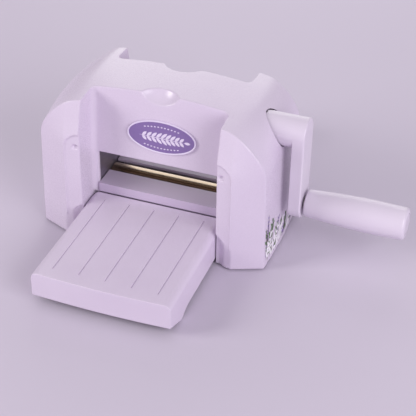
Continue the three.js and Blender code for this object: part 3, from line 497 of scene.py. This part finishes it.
def channel(grow):
    """The shallow arch-topped channel beside the bay."""
    outer, top = LOBE_RIDGE_X + grow, CHANNEL_SPRING_Z + CHANNEL_WIDTH + grow
    piece = block("channel", (BAY_HALF - 2, -PAST, UNDER), (outer, -30, top))
    round_edges(piece, CHANNEL_WIDTH + grow, 16, lambda edge: (
        runs(edge, Y) and middle(edge).z > CHANNEL_SPRING_Z and middle(edge).x > BAY_HALF))
    inner_y, outer_y = grow - CHANNEL_INNER_Y, grow - LOBE_FRONT + CHANNEL_STEP
    slope = (outer_y - inner_y) / CHANNEL_WIDTH
    reshape(piece, lambda x, y, z: (
        x, y if y < NEARER else inner_y + slope * max(0, min(CHANNEL_WIDTH, x - BAY_HALF)), z))
    return piece


def relief(grow):
    """The channel's foot is cut back under a sloping line, which leaves a dark notch."""
    outer = LOBE_RIDGE_X + 1.5 + grow
    piece = block("relief", (BAY_HALF - 3, -PAST, -6), (outer, -40, RELIEF_INNER_Z))
    slice_piece(piece, X, (BAY_HALF + RELIEF_FLAT[0], LOBE_RIDGE_X - RELIEF_FLAT[1]))
    drop = (RELIEF_INNER_Z - RELIEF_OUTER_Z) / CHANNEL_WIDTH

    def rule(x, y, z):
        if y > NEARER:
            share = (x - BAY_HALF - RELIEF_FLAT[0]) / (CHANNEL_WIDTH - sum(RELIEF_FLAT))
            rise = RELIEF_RISE * max(0, min(1, share)) + 0.3 * (x > LOBE_RIDGE_X)
            y = grow - RELIEF_Y - rise
        return x, y, z if z < 0 else RELIEF_OUTER_Z + drop * (LOBE_RIDGE_X - x) + grow

    reshape(piece, rule)
    return piece


def pocket():
    """A small rounded pocket under the left arch, where the channel meets the bay."""
    bpy.ops.mesh.primitive_uv_sphere_add(
        segments=32, ring_count=16, radius=POCKET_RADIUS * MM,
        location=(-POCKET_X * MM, -POCKET_Y * MM, POCKET_Z * MM))
    return settle("pocket")


def all_cutters(grow):
    """All that is cut from the crowned block, front and rear, left and right."""
    right = [channel(grow), relief(grow)]
    front = [bay(grow), trough(grow), scoop(grow), *right] + [mirrored(tool, X) for tool in right]
    return front + [mirrored(tool, Y) for tool in front]


# %% Carve the outside, and round every edge with a fine remesh
housing = crowned_block(inset=0, segments=40, floor=0)
carve(housing, lobe_block(0), how="INTERSECT")
carve(housing, *all_cutters(0))
carve(housing, block("slot", (-SLOT_HALF, -PAST, UNDER), (SLOT_HALF, PAST, PANEL_FOOT_Z)))
left_pocket = pocket()
carve(housing, mirrored(left_pocket, X), left_pocket)
VOXEL = 0.55                      # mm
SOFTENING = 3                     # passes; each rounds the edges a little more
MOST_TRIANGLES = 165000
apply(housing, "REMESH", mode="VOXEL", voxel_size=VOXEL * MM)
apply(housing, "SMOOTH", factor=0.5, iterations=SOFTENING)
before = len(housing.data.polygons) * 2
apply(housing, "DECIMATE", ratio=min(1, MOST_TRIANGLES / before))
print("housing remeshed to", before, "triangles and thinned to", len(housing.data.polygons))

# %% Hollow it to a moulded wall, and let the tray pins through
cavity = crowned_block(inset=WALL, segments=12, floor=UNDER)
carve(cavity, lobe_block(WALL), how="INTERSECT")
carve(cavity, *all_cutters(WALL))
carve(housing, cavity)
carve(housing, bar("hub_hole", HUB_RADIUS + HUB_GAP, 55, 101, 0, CRANK_Z, 128))
for side in (-1, 1):
    for end in (-1, 1):
        near, far = sorted((side * (BAY_HALF - 1), side * (BAY_HALF + WALL + 1)))
        carve(housing, bar("pin_hole", PIN_HOLE, near, far, end * HINGE_Y, HINGE_Z, 24))
only(housing)
bpy.ops.object.shade_smooth_by_angle(angle=radians(50))
finish(housing, LILAC_ABS, "frame", "shell_plastic", "housing")

# %% [markdown]
# ## The trays
# Each tray is a moulded lid turned table: a flat top with five fine guide grooves, well-rounded
# long edges, and skirts that come down to a foot near the free end. The block is sliced where its
# underside bends, and the free end is bowed a little, as its real one is.

# %% Shape the front tray's outside
TRAY_HALF, TRAY_TOP, TRAY_BACK, TRAY_NOSE = 50.3, 25.6, -27.4, -131.0
TRAY_BOW, BOW_START = 1.6, TRAY_NOSE + 12
TRAY_FILLET, TRAY_WALL, TRAY_PLATE = 5, 2.2, 2.7
# how far back from the hinged end each bend of the skirts' lower edge is, and its height
UNDERSIDE = [(0, 9), (2.2, 4.8), (6, 2.6), (71, 2.6), (73, 2.25), (75.2, 1.6), (77.6, 0.6),
             (80.5, -0.8), (82, -1.2), (83.5, -1.2), (86.5, -0.2), (103.6, 6.7), (105.6, 6.0)]


def underside(y):
    """The height of the skirts' lower edge, so far back from the hinged end."""
    back = TRAY_BACK - y
    for (near, low), (far, high) in zip(UNDERSIDE, UNDERSIDE[1:]):
        if back <= far:
            return low + (high - low) * (back - near) / (far - near)
    return UNDERSIDE[-1][1]


def bowed(x, y):
    """The free end bows out; points further back stay where they are."""
    share = max(0, (y - BOW_START) / (TRAY_NOSE - BOW_START))
    return y - share * TRAY_BOW * (1 - (x / TRAY_HALF) ** 2)


def tray_block(inset, top, floor):
    """The tray's outline as a plain block, with the edge loops that its bends need."""
    half, nose = TRAY_HALF - inset, TRAY_NOSE + inset
    piece = block("front_tray", (-half, nose, floor), (half, TRAY_BACK - inset, top))
    round_edges(piece, TRAY_FILLET - inset, 8,
                lambda edge: runs(edge, Y) and middle(edge).z > top - 1)
    slice_piece(piece, X, range(-45, 46, 6))
    slice_piece(piece, Y, [BOW_START] + [TRAY_BACK - back for back, _ in UNDERSIDE[1:-2]])
    return piece


front_tray = tray_block(0, TRAY_TOP, -3)
reshape(front_tray, lambda x, y, z: (x, bowed(x, y), underside(y) if z < 0 else z))
soft_edges(front_tray, 0.6, 3)
report(front_tray)

# %% Hollow its underside, and add the hinge ears and stiffening ribs
hollow = tray_block(TRAY_WALL, TRAY_TOP - TRAY_PLATE, -6)
reshape(hollow, lambda x, y, z: (x, bowed(x, y), z))
carve(front_tray, hollow)
RIB, RIB_FOOT, RIB_TOP = 0.8, 14, 23.5      # mm; half a rib's thickness, and its heights
EAR_RADIUS = 7
for y in (-60, -88, -112):
    carve(front_tray, block("rib", (-49, y - RIB, RIB_FOOT), (49, y + RIB, RIB_TOP)), how="UNION")
for x in (-25, 0, 25):
    carve(front_tray, block("rib", (x - RIB, TRAY_NOSE + 1.5, RIB_FOOT), (x + RIB, -52, RIB_TOP)),
          how="UNION")
for side in (-1, 1):
    near, far = sorted((side * (TRAY_HALF - 7), side * (TRAY_HALF - 0.5)))
    ear = block("ear", (near, -HINGE_Y - EAR_RADIUS, HINGE_Z),
                (far, -HINGE_Y + EAR_RADIUS, RIB_TOP))
    carve(front_tray, bar("ear", EAR_RADIUS, near, far, -HINGE_Y, HINGE_Z, 48), ear, how="UNION")
    near, far = sorted((side * (TRAY_HALF - 8), side * (TRAY_HALF + 1)))
    carve(front_tray, bar("bore", PIN_HOLE, near, far, -HINGE_Y, HINGE_Z, 32))
report(front_tray)

# %% Five guide grooves, each with rounded ends and a rounded floor
GROOVES, GROOVE_PITCH, GROOVE_HALF, GROOVE_DEPTH = 5, 19, 0.45, 0.5
for i in range(GROOVES):
    x = (i - (GROOVES - 1) / 2) * GROOVE_PITCH
    groove = block("groove", (x - GROOVE_HALF, TRAY_NOSE + 9, TRAY_TOP - GROOVE_DEPTH),
                   (x + GROOVE_HALF, TRAY_BACK - 7, TRAY_TOP + 1))
    round_edges(groove, 0.3, 3, lambda edge: runs(edge, Z) or middle(edge).z < TRAY_TOP)
    carve(front_tray, groove)
polish(front_tray)
rear_tray = mirrored(front_tray, Y, "rear_tray_moulding")
front_tray.name = front_tray.data.name = "front_tray_moulding"
polish(rear_tray)
finish(front_tray, TRAY_ABS, "front_tray", "tray_plastic", "front_tray")
finish(rear_tray, TRAY_ABS, "rear_tray", "tray_plastic", "rear_tray")

# %% [markdown]
# ## The decks and the side plates
# The slot's floor, its lip and the trough under each tray are one bent moulding. Steel plates close
# the slot's ends and carry the rollers. Both are plain bent or cut shapes, so a merged copy of the
# CAD piece with its edges broken gives the real look.


# %% Copy a CAD piece and break its edges
def dressed(node, name, edge, material, slot):
    """A merged copy of a CAD piece of the frame, with broken edges, in place of the CAD one."""
    piece = frame["nodes"][node].copy()
    piece.data = piece.data.copy()
    piece.parent = None
    piece.name = piece.data.name = name
    for key in list(piece.keys()):
        del piece[key]
    bpy.context.scene.collection.objects.link(piece)
    piece.data.materials.clear()
    tidy(piece)
    soft_edges(piece, edge, 3, 30)
    polish(piece, 30)
    finish(piece, material, "frame", slot, node)


# The deck mouldings get a colour darkened with painted shade.
for end in ("front", "rear"):
    dressed(f"{end}_deck", f"{end}_deck_moulding", 0.7, DECK_ABS_WITH_PAINTED_SHADE, "deck_plastic")
# The side plates get a colour lightened with painted light.
for side in ("right", "left"):
    dressed(f"frame_plate_{side}", f"{side}_side_plate", 0.25, ZINC_SHEET_WITH_PAINTED_LIGHT, "plate_steel")
dressed("base_pan", "base_tray_moulding", 0.3, GREY_ABS, "base_plastic")

# %% [markdown]
# ## Turned pieces
# The rollers and the grip come off a lathe, so each starts as the half outline that a turner
# would draw, and spin sweeps it round its axis.


# %% Sweep an outline round an X axis
def turned(name, outline, y, z, steps=96):
    """The outline is x and radius pairs in mm. It starts and ends on the axis, or closes."""
    mesh = bpy.data.meshes.new(name)
    count = len(outline)
    closed = outline[0][1] > 0
    links = [(i, (i + 1) % count) for i in range(count if closed else count - 1)]
    mesh.from_pydata([(x * MM, y * MM, (z + radius) * MM) for x, radius in outline], links, [])
    piece = bpy.data.objects.new(name, mesh)
    bpy.context.scene.collection.objects.link(piece)
    only(piece)
    bpy.ops.object.mode_set(mode="EDIT")
    bpy.ops.mesh.select_all(action="SELECT")
    bpy.ops.mesh.spin(steps=steps, angle=2 * pi, center=(0, y * MM, z * MM), axis=(1, 0, 0))
    bpy.ops.mesh.select_all(action="SELECT")
    bpy.ops.mesh.remove_doubles(threshold=0.0005 * MM)
    bpy.ops.mesh.normals_make_consistent(inside=False)
    leave()
    return piece


def arc(x, radius, size, first, last, steps=5):
    """Outline points round a corner whose arc has this middle and size."""
    angles = [radians(first + (last - first) * i / steps) for i in range(steps + 1)]
    return [(x + size * sin(a), radius + size * cos(a)) for a in angles]


# %% The rollers
ROLLER, JOURNAL, FACE_END = 10, 5, 46.6
LONG_END, SHORT_END = 65.5, 53.1  # a journal's end with a gear on it, and without
for name, body, left, right in (("lower_roller", "lower_rollers", LONG_END, SHORT_END),
                                ("upper_roller", "upper_rollers", LONG_END, LONG_END)):
    low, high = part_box(name)
    height = (low.z + high.z) / 2 / MM
    roller = turned(name + "_turned", [
        (-left, 0), *arc(-left + 0.6, JOURNAL - 0.6, 0.6, -90, 0, 3), (-FACE_END, JOURNAL),
        *arc(-FACE_END + 0.8, ROLLER - 0.8, 0.8, -90, 0),
        *arc(FACE_END - 0.8, ROLLER - 0.8, 0.8, 0, 90),
        (FACE_END, JOURNAL), *arc(right - 0.6, JOURNAL - 0.6, 0.6, 0, 90, 3),
        (right, 0)], 0, height)
    polish(roller, 40)
    # The rollers' warm tint is painted reflection.
    finish(roller, GROUND_STEEL_WITH_PAINTED_REFLECTION, body, "roller_steel", name)

# %% The grip swells from a narrow neck, and a cap closes its end
THROW = 56.7                      # mm, from the crank's axis to the grip's
HANDLE_Z = CRANK_Z - THROW
GRIP_START, GRIP_END = 102.8, 175.4
NECK, SWELL, RIM = 9.8, 12.1, 11.6
SWELL_END = GRIP_START + (GRIP_END - GRIP_START) * 0.68
swelling = []
for i in range(1, 25):
    share = i / 24
    swelling.append((GRIP_START + (SWELL_END - GRIP_START) * share,
                     NECK + (SWELL - NECK) * sin(pi / 2 * share)))
grip = turned("grip_moulding", [
    (GRIP_START, 4.3), *arc(GRIP_START + 1.2, NECK - 1.2, 1.2, -90, 0), *swelling[1:],
    *arc(GRIP_END - 2.5, RIM - 2.5, 2.5, 0, 90, 8), (GRIP_END, 8), (GRIP_END - 2, 8),
    (GRIP_END - 2, 6.3), (GRIP_END - 7.3, 6.3), (GRIP_END - 7.3, 4.3)], 0, HANDLE_Z)
polish(grip, 40)
finish(grip, HANDLE_ABS, "grip", "handle_plastic", "handle_grip")
cap = turned("grip_cap_moulding", [
    (GRIP_END - 4.2, 0), (GRIP_END - 4.2, 5.6), (GRIP_END - 1.7, 5.6), (GRIP_END - 1.7, 7.7),
    *arc(GRIP_END - 0.5, 7.2, 0.5, 0, 60, 3), (GRIP_END, 5), (GRIP_END, 0)], 0, HANDLE_Z)
polish(cap, 40)
finish(cap, HANDLE_ABS, "grip", "handle_plastic", "grip_cap")

# %% [markdown]
# ## The crank arm
# The arm is a flat bar with round ends, and a hub grows from it through the shoulder. A disc is
# pulled apart at its middle: its lower half moves down by the crank's throw.

# %% Pull a disc into an arm, round its rims, and join the hub
ARM_INNER, ARM_OUTER = 92.1, 100.9
HUB_START, SHAFT_END = 64.5, 98.2
SHAFT_BORE, SPINDLE_BORE = 5.2, 3.2
PIN_BORE, PIN_X = 2.2, 68.5
arm = bar("crank_arm_moulding", HUB_RADIUS, ARM_INNER, ARM_OUTER, 0, CRANK_Z, 96)
pick(arm, "VERT", lambda vert: vert.co.z < (CRANK_Z - NEAR) * MM)
bpy.ops.transform.translate(value=(0, 0, (HANDLE_Z - CRANK_Z) * MM))
leave()
round_edges(arm, 1.2, 5, lambda edge: not runs(edge, X) and middle(edge).x > ARM_OUTER - 1)
round_edges(arm, 0.6, 3, lambda edge: not runs(edge, X) and middle(edge).x < ARM_INNER + 0.1)
carve(arm, bar("hub", HUB_RADIUS - 0.02, HUB_START, ARM_INNER + 1, 0, CRANK_Z, 96), how="UNION")
carve(arm, bar("bore", SHAFT_BORE, HUB_START - 1.5, SHAFT_END, 0, CRANK_Z),
      post("bore", PIN_BORE, 78, 107, PIN_X, 0, 24),
      bar("bore", SPINDLE_BORE, ARM_INNER + 1, ARM_OUTER + 1, 0, HANDLE_Z, 32))
polish(arm, 30)
finish(arm, HANDLE_ABS, "crank", "handle_plastic", "crank_arm")

# %% [markdown]
# ## The badge
# An oval plate lies on the sloping panel: a pale raised rim round a violet field. The real one
# carries words, which are left out. A plain printed sprig of leaves takes their place.

# %% Press the oval: inset the rim, then sink the field
BADGE_X, BADGE_Z, BADGE_HALF_X, BADGE_HALF_Z, BADGE_THICK = 2, 81.3, 25.7, 12.5, 1.4
RIM_WIDTH, RIM_SLOPE, FIELD_DEPTH = 0.8, 0.25, 0.35
TILT = atan(PANEL_SLOPE)
PANEL_Y = -(PANEL_FOOT_Y - (BADGE_Z - PANEL_FOOT_Z) * PANEL_SLOPE)
bpy.ops.mesh.primitive_cylinder_add(vertices=128, radius=MM, depth=BADGE_THICK * MM,
                                    rotation=(pi / 2, 0, 0), scale=(BADGE_HALF_X, BADGE_HALF_Z, 1))
badge = settle("badge_plate")
pick(badge, "FACE", lambda face: face.normal.y < -0.9)
bpy.ops.mesh.inset(thickness=RIM_WIDTH * MM)
bpy.ops.mesh.inset(thickness=RIM_SLOPE * MM)
bpy.ops.transform.translate(value=(0, FIELD_DEPTH * MM, 0))
leave()
for material in (PALE_PRINT, VIOLET_PAINT):
    badge.data.materials.append(material)
field = max((face for face in badge.data.polygons if face.normal.y < -0.9),
            key=lambda face: face.area)
field.material_index = 1
soft_edges(badge, 0.2, 2, 50)
BADGE_GAP = 0.15                  # mm, the glue's thickness
BADGE_Y = PANEL_Y - BADGE_GAP - BADGE_THICK / 2
PLACE = Matrix.Translation((BADGE_X * MM, BADGE_Y * MM, BADGE_Z * MM))
ON_PANEL = PLACE @ Matrix.Rotation(-TILT, 4, "X")
badge.data.transform(ON_PANEL)
polish(badge, 40)
finish(badge, PALE_PRINT, "frame", "badge", "badge")


# %% One printed leaf
def leaf(name, length, width, root, angle, material):
    """A pointed leaf lying in the XZ plane, facing -Y, its stalk end at the root."""
    bpy.ops.mesh.primitive_circle_add(vertices=20, radius=0.5 * MM, fill_type="NGON",
                                      rotation=(pi / 2, 0, 0))
    piece = settle(name)

    def rule(x, y, z):
        along = (x + 0.5) * length
        taper = sin(pi * max(0, min(1, x + 0.5))) ** 0.35
        across = z * width * taper
        return (root[0] + along * cos(angle) - across * sin(angle), 0,
                root[1] + along * sin(angle) + across * cos(angle))

    reshape(piece, rule)
    piece.data.materials.append(material)
    return piece


def joined(name, pieces):
    """Many pieces as one, under this name."""
    only(pieces[0])
    for piece in pieces:
        piece.select_set(True)
    bpy.ops.object.join()
    pieces[0].name = pieces[0].data.name = name
    return pieces[0]


# %% The badge's ornament: a leafy stem between two curved rows of seeds
PAIRS, SEEDS = 9, 11
STEM_HEIGHT, LEAF_WIDTH = -0.6, 2.1
ornament = [leaf("ornament", 34, 0.6, (-17, STEM_HEIGHT), 0, PALE_PRINT)]
for i in range(PAIRS):
    root = (-14.5 + i * 3.5, STEM_HEIGHT)
    size = 6.6 - abs(i - PAIRS // 2) * 0.5
    for turn in (-44, 44):
        ornament.append(leaf("ornament", size, LEAF_WIDTH, root, radians(turn), PALE_PRINT))
ornament.append(leaf("ornament", 4.6, LEAF_WIDTH, (17, STEM_HEIGHT), 0, PALE_PRINT))
for i in range(SEEDS):
    x = (i - SEEDS // 2) * 2.5
    for height in (7.9, -8.6):
        sag = copysign(0.0085 * x * x, -height)
        ornament.append(leaf("ornament", 1.5, 0.9, (x - 0.75, height + sag), 0, PALE_PRINT))
motif = joined("badge_ornament", ornament)
apply(motif, "SOLIDIFY", thickness=0.12 * MM, offset=0)
ON_FIELD = 0.3                    # mm down from the rim, so that the print stands on the field
motif.data.transform(ON_PANEL @ Matrix.Translation((0, (-BADGE_THICK / 2 + ON_FIELD) * MM, 0)))
finish(motif, PALE_PRINT, "frame", "badge")

# %% [markdown]
# ## The printed sprig
# Low on the crank side the real housing has a printed botanical spray. Print has almost no
# thickness, so each stem and leaf is a thin sheet wrapped onto the curved side and given a film's
# depth. The spray is a design of its own, and a seeded draw varies its leaves.

# %% Inks, and a spray grown in the side's own plane
LEAF_GREEN = moulded_abs("leaf green ink", "#668B55", "#4C7043", 0.5)
STEM_BROWN = moulded_abs("stem brown ink", "#6B5B58", "#54484A", 0.5)
BLOOM_VIOLET = moulded_abs("bloom violet ink", "#7E66AE", "#9A84C4", 0.5)
WHITE_INK = moulded_abs("white ink", "#F4F0F6", "#EFEAF3", 0.5)
chance = random.Random(7)
spray = {ink: [] for ink in (BLOOM_VIOLET, LEAF_GREEN, STEM_BROWN, WHITE_INK)}


STALK, PAIR_STEP = 1.0, 3         # mm
LEAF_SLIMNESS = 0.33              # a leaf's width for its length


def stem(root, angle, length, stalk_ink, leaf_ink, leaf_size):
    """A slim stem with leaves in pairs up its length."""
    spray[stalk_ink].append(leaf("spray", length, STALK, root, angle, stalk_ink))
    for step in range(1, int(length / PAIR_STEP)):
        along = step * PAIR_STEP + chance.uniform(-0.6, 0.6)
        at = (root[0] + along * cos(angle), root[1] + along * sin(angle))
        for turn in (-1, 1):
            size = leaf_size * chance.uniform(0.65, 1.15) * (1.1 - along / length * 0.5)
            spread = turn * radians(chance.uniform(18, 62))
            spray[leaf_ink].append(
                leaf("spray", size, size * LEAF_SLIMNESS, at, angle + spread, leaf_ink))


# each stem's root (along the side, and up), its angle, length, two inks and leaf length
for root, degrees, length, stalk_ink, leaf_ink, leaf_size in (
        ((-36, 5), 84, 37, STEM_BROWN, BLOOM_VIOLET, 4.0),
        ((-36, 4), 66, 24, WHITE_INK, WHITE_INK, 7.0),
        ((-33, 3), 98, 30, STEM_BROWN, LEAF_GREEN, 5.0),
        ((-30, 4), 78, 30, STEM_BROWN, LEAF_GREEN, 6.5),
        ((-29, 3), 48, 26, WHITE_INK, WHITE_INK, 7.5),
        ((-25, 4), 100, 24, STEM_BROWN, LEAF_GREEN, 7.0),
        ((-22, 3), 64, 28, STEM_BROWN, BLOOM_VIOLET, 4.5),
        ((-20, 3), 38, 22, WHITE_INK, WHITE_INK, 7.0),
        ((-17, 3), 86, 22, STEM_BROWN, LEAF_GREEN, 7.0),
        ((-13, 3), 52, 25, WHITE_INK, WHITE_INK, 7.5),
        ((-9, 3), 76, 20, STEM_BROWN, LEAF_GREEN, 6.5),
        ((-6, 3), 104, 18, WHITE_INK, WHITE_INK, 6.0),
        ((-2, 3), 58, 20, STEM_BROWN, BLOOM_VIOLET, 4.5),
        ((3, 3), 80, 18, STEM_BROWN, LEAF_GREEN, 5.5),
        ((7, 3), 44, 18, WHITE_INK, WHITE_INK, 6.0),
        ((12, 3), 66, 14, STEM_BROWN, LEAF_GREEN, 4.5),
        ((17, 3), 50, 11, STEM_BROWN, BLOOM_VIOLET, 4.0)):
    stem(root, radians(degrees), length, stalk_ink, leaf_ink, leaf_size)

# %% Wrap each ink onto the side as a film of its own, later inks over earlier ones
FILM, LOWEST_FILM = 0.06, 0.12    # mm
for layer, (ink, shapes) in enumerate(spray.items()):
    sprig = joined("printed_" + ink.name.replace(" ", "_"), shapes)
    reshape(sprig, lambda x, y, z: (HALF_WIDTH + 3, x, z))
    pick(sprig, "FACE", lambda face: True)
    bpy.ops.mesh.subdivide(number_cuts=1)
    bpy.ops.mesh.quads_convert_to_tris()
    leave()
    apply(sprig, "SHRINKWRAP", target=housing, wrap_method="PROJECT", use_project_x=True,
          use_negative_direction=True, use_positive_direction=False,
          offset=(LOWEST_FILM + layer * FILM) * MM)
    apply(sprig, "SOLIDIFY", thickness=FILM * MM, offset=0)
    finish(sprig, ink, "frame", "shell_plastic")

# %% [markdown]
# ## Feet
# Four rubber discs keep the press from sliding while the crank turns.

# %% Shape one foot for each corner, with a shallow suction hollow
FOOT_RADIUS, FOOT_RIM, FOOT_HOLLOW = 7, 1.8, 0.5
for node in sorted(name for name in frame["nodes"] if name.startswith("foot_")):
    low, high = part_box(node)
    centre = (low + high) / 2 / MM
    foot = post(node + "_rubber", FOOT_RADIUS, low.z / MM, high.z / MM, centre.x, centre.y)
    pick(foot, "FACE", lambda face: face.normal.z < -0.9)
    bpy.ops.mesh.inset(thickness=FOOT_RIM * MM)
    bpy.ops.transform.translate(value=(0, 0, FOOT_HOLLOW * MM))
    leave()
    soft_edges(foot, 0.35, 3)
    polish(foot)
    finish(foot, FOOT_RUBBER, "frame", "rubber", node)

# %% [markdown]
# ## Inner works
# The gears, bushes, ties, pins and screws keep their CAD shapes. Each gets the metal it is made of.

# %% Give every other CAD node its metal
# Plate steel's pale colour is painted light.
# Roller steel's warm tint is painted reflection.
METALS = {"bright_steel": BRIGHT_ZINC, "gear_steel": CUT_STEEL, "bronze": BRONZE,
          "plate_steel": ZINC_SHEET_WITH_PAINTED_LIGHT, "roller_steel": GROUND_STEEL_WITH_PAINTED_REFLECTION}
slot_of = {part["node"]: part["material_slot"] for part in frame["record"]["subparts"]}
shown = {node: piece for node, piece in frame["nodes"].items() if not piece.hide_render}
for node, piece in shown.items():
    piece.data.materials.clear()
    piece.data.materials.append(METALS[slot_of[node]])
print("inner works:", len(shown), "CAD nodes shown")

# %% [markdown]
# ## Floor, light and camera
# The press stands on a plain pale sheet under soft studio light: a key from the upper left, a
# broad fill from the right, a low light behind, and an even sky.

# %% Floor
bpy.ops.mesh.primitive_plane_add(size=6, location=(0, 0, cad_low.z))
floor = settle("studio_floor")
sheet_paper, _, shader, _ = start("pale studio paper", 0.75)
shader.inputs["Base Color"].default_value = linear("#CFC6D6")
floor.data.materials.append(sheet_paper)


# %% Lights
def softbox(name, watts, size, place, aim, tint):
    light = bpy.data.lights.new(name, "AREA")
    light.energy, light.size = watts, size
    light.color = linear(tint)[:3]
    lamp = bpy.data.objects.new(name, light)
    lamp.location = place
    lamp.rotation_euler = (Vector(aim) - Vector(place)).to_track_quat("-Z", "Y").to_euler()
    bpy.context.scene.collection.objects.link(lamp)


softbox("key", 12, 0.6, (-1.15, -0.85, 0.75), (0, 0, 0.06), "#FFFDFB")
softbox("fill", 17, 1.1, (1.3, -0.8, 0.7), (0, 0, 0.05), "#FDFBFF")
softbox("rear", 4, 0.9, (-0.2, 1.0, 0.45), (0, 0, 0.05), "#FFFFFF")
world = bpy.data.worlds.new("studio")
bpy.context.scene.world = world
world.use_nodes = True
world.node_tree.nodes["Background"].inputs["Color"].default_value = linear("#F4EFF7")
world.node_tree.nodes["Background"].inputs["Strength"].default_value = 0.46
bpy.context.scene.view_settings.view_transform = "Standard"

# %% Camera
CAMERA_PLACE = Vector((0.2748, -0.6981, 0.5351))
AZIMUTH, ELEVATION, ROLL = radians(19.43), radians(35.25), radians(1.056)
away = Vector((sin(AZIMUTH) * cos(ELEVATION), -cos(AZIMUTH) * cos(ELEVATION), sin(ELEVATION)))
across = Vector((cos(AZIMUTH), sin(AZIMUTH), 0))
upward = away.cross(across)
turned_across = across * cos(ROLL) + upward * sin(ROLL)
turned_upward = upward * cos(ROLL) - across * sin(ROLL)
camera = bpy.data.objects.new("camera", bpy.data.cameras.new("camera"))
bpy.context.scene.collection.objects.link(camera)
camera.data.sensor_width, camera.data.lens = 36, 106.28
turn = Matrix((turned_across, turned_upward, away)).transposed().to_4x4()
camera.matrix_world = Matrix.Translation(CAMERA_PLACE) @ turn
bpy.context.scene.camera = camera
print("camera at", [round(v, 3) for v in camera.location])
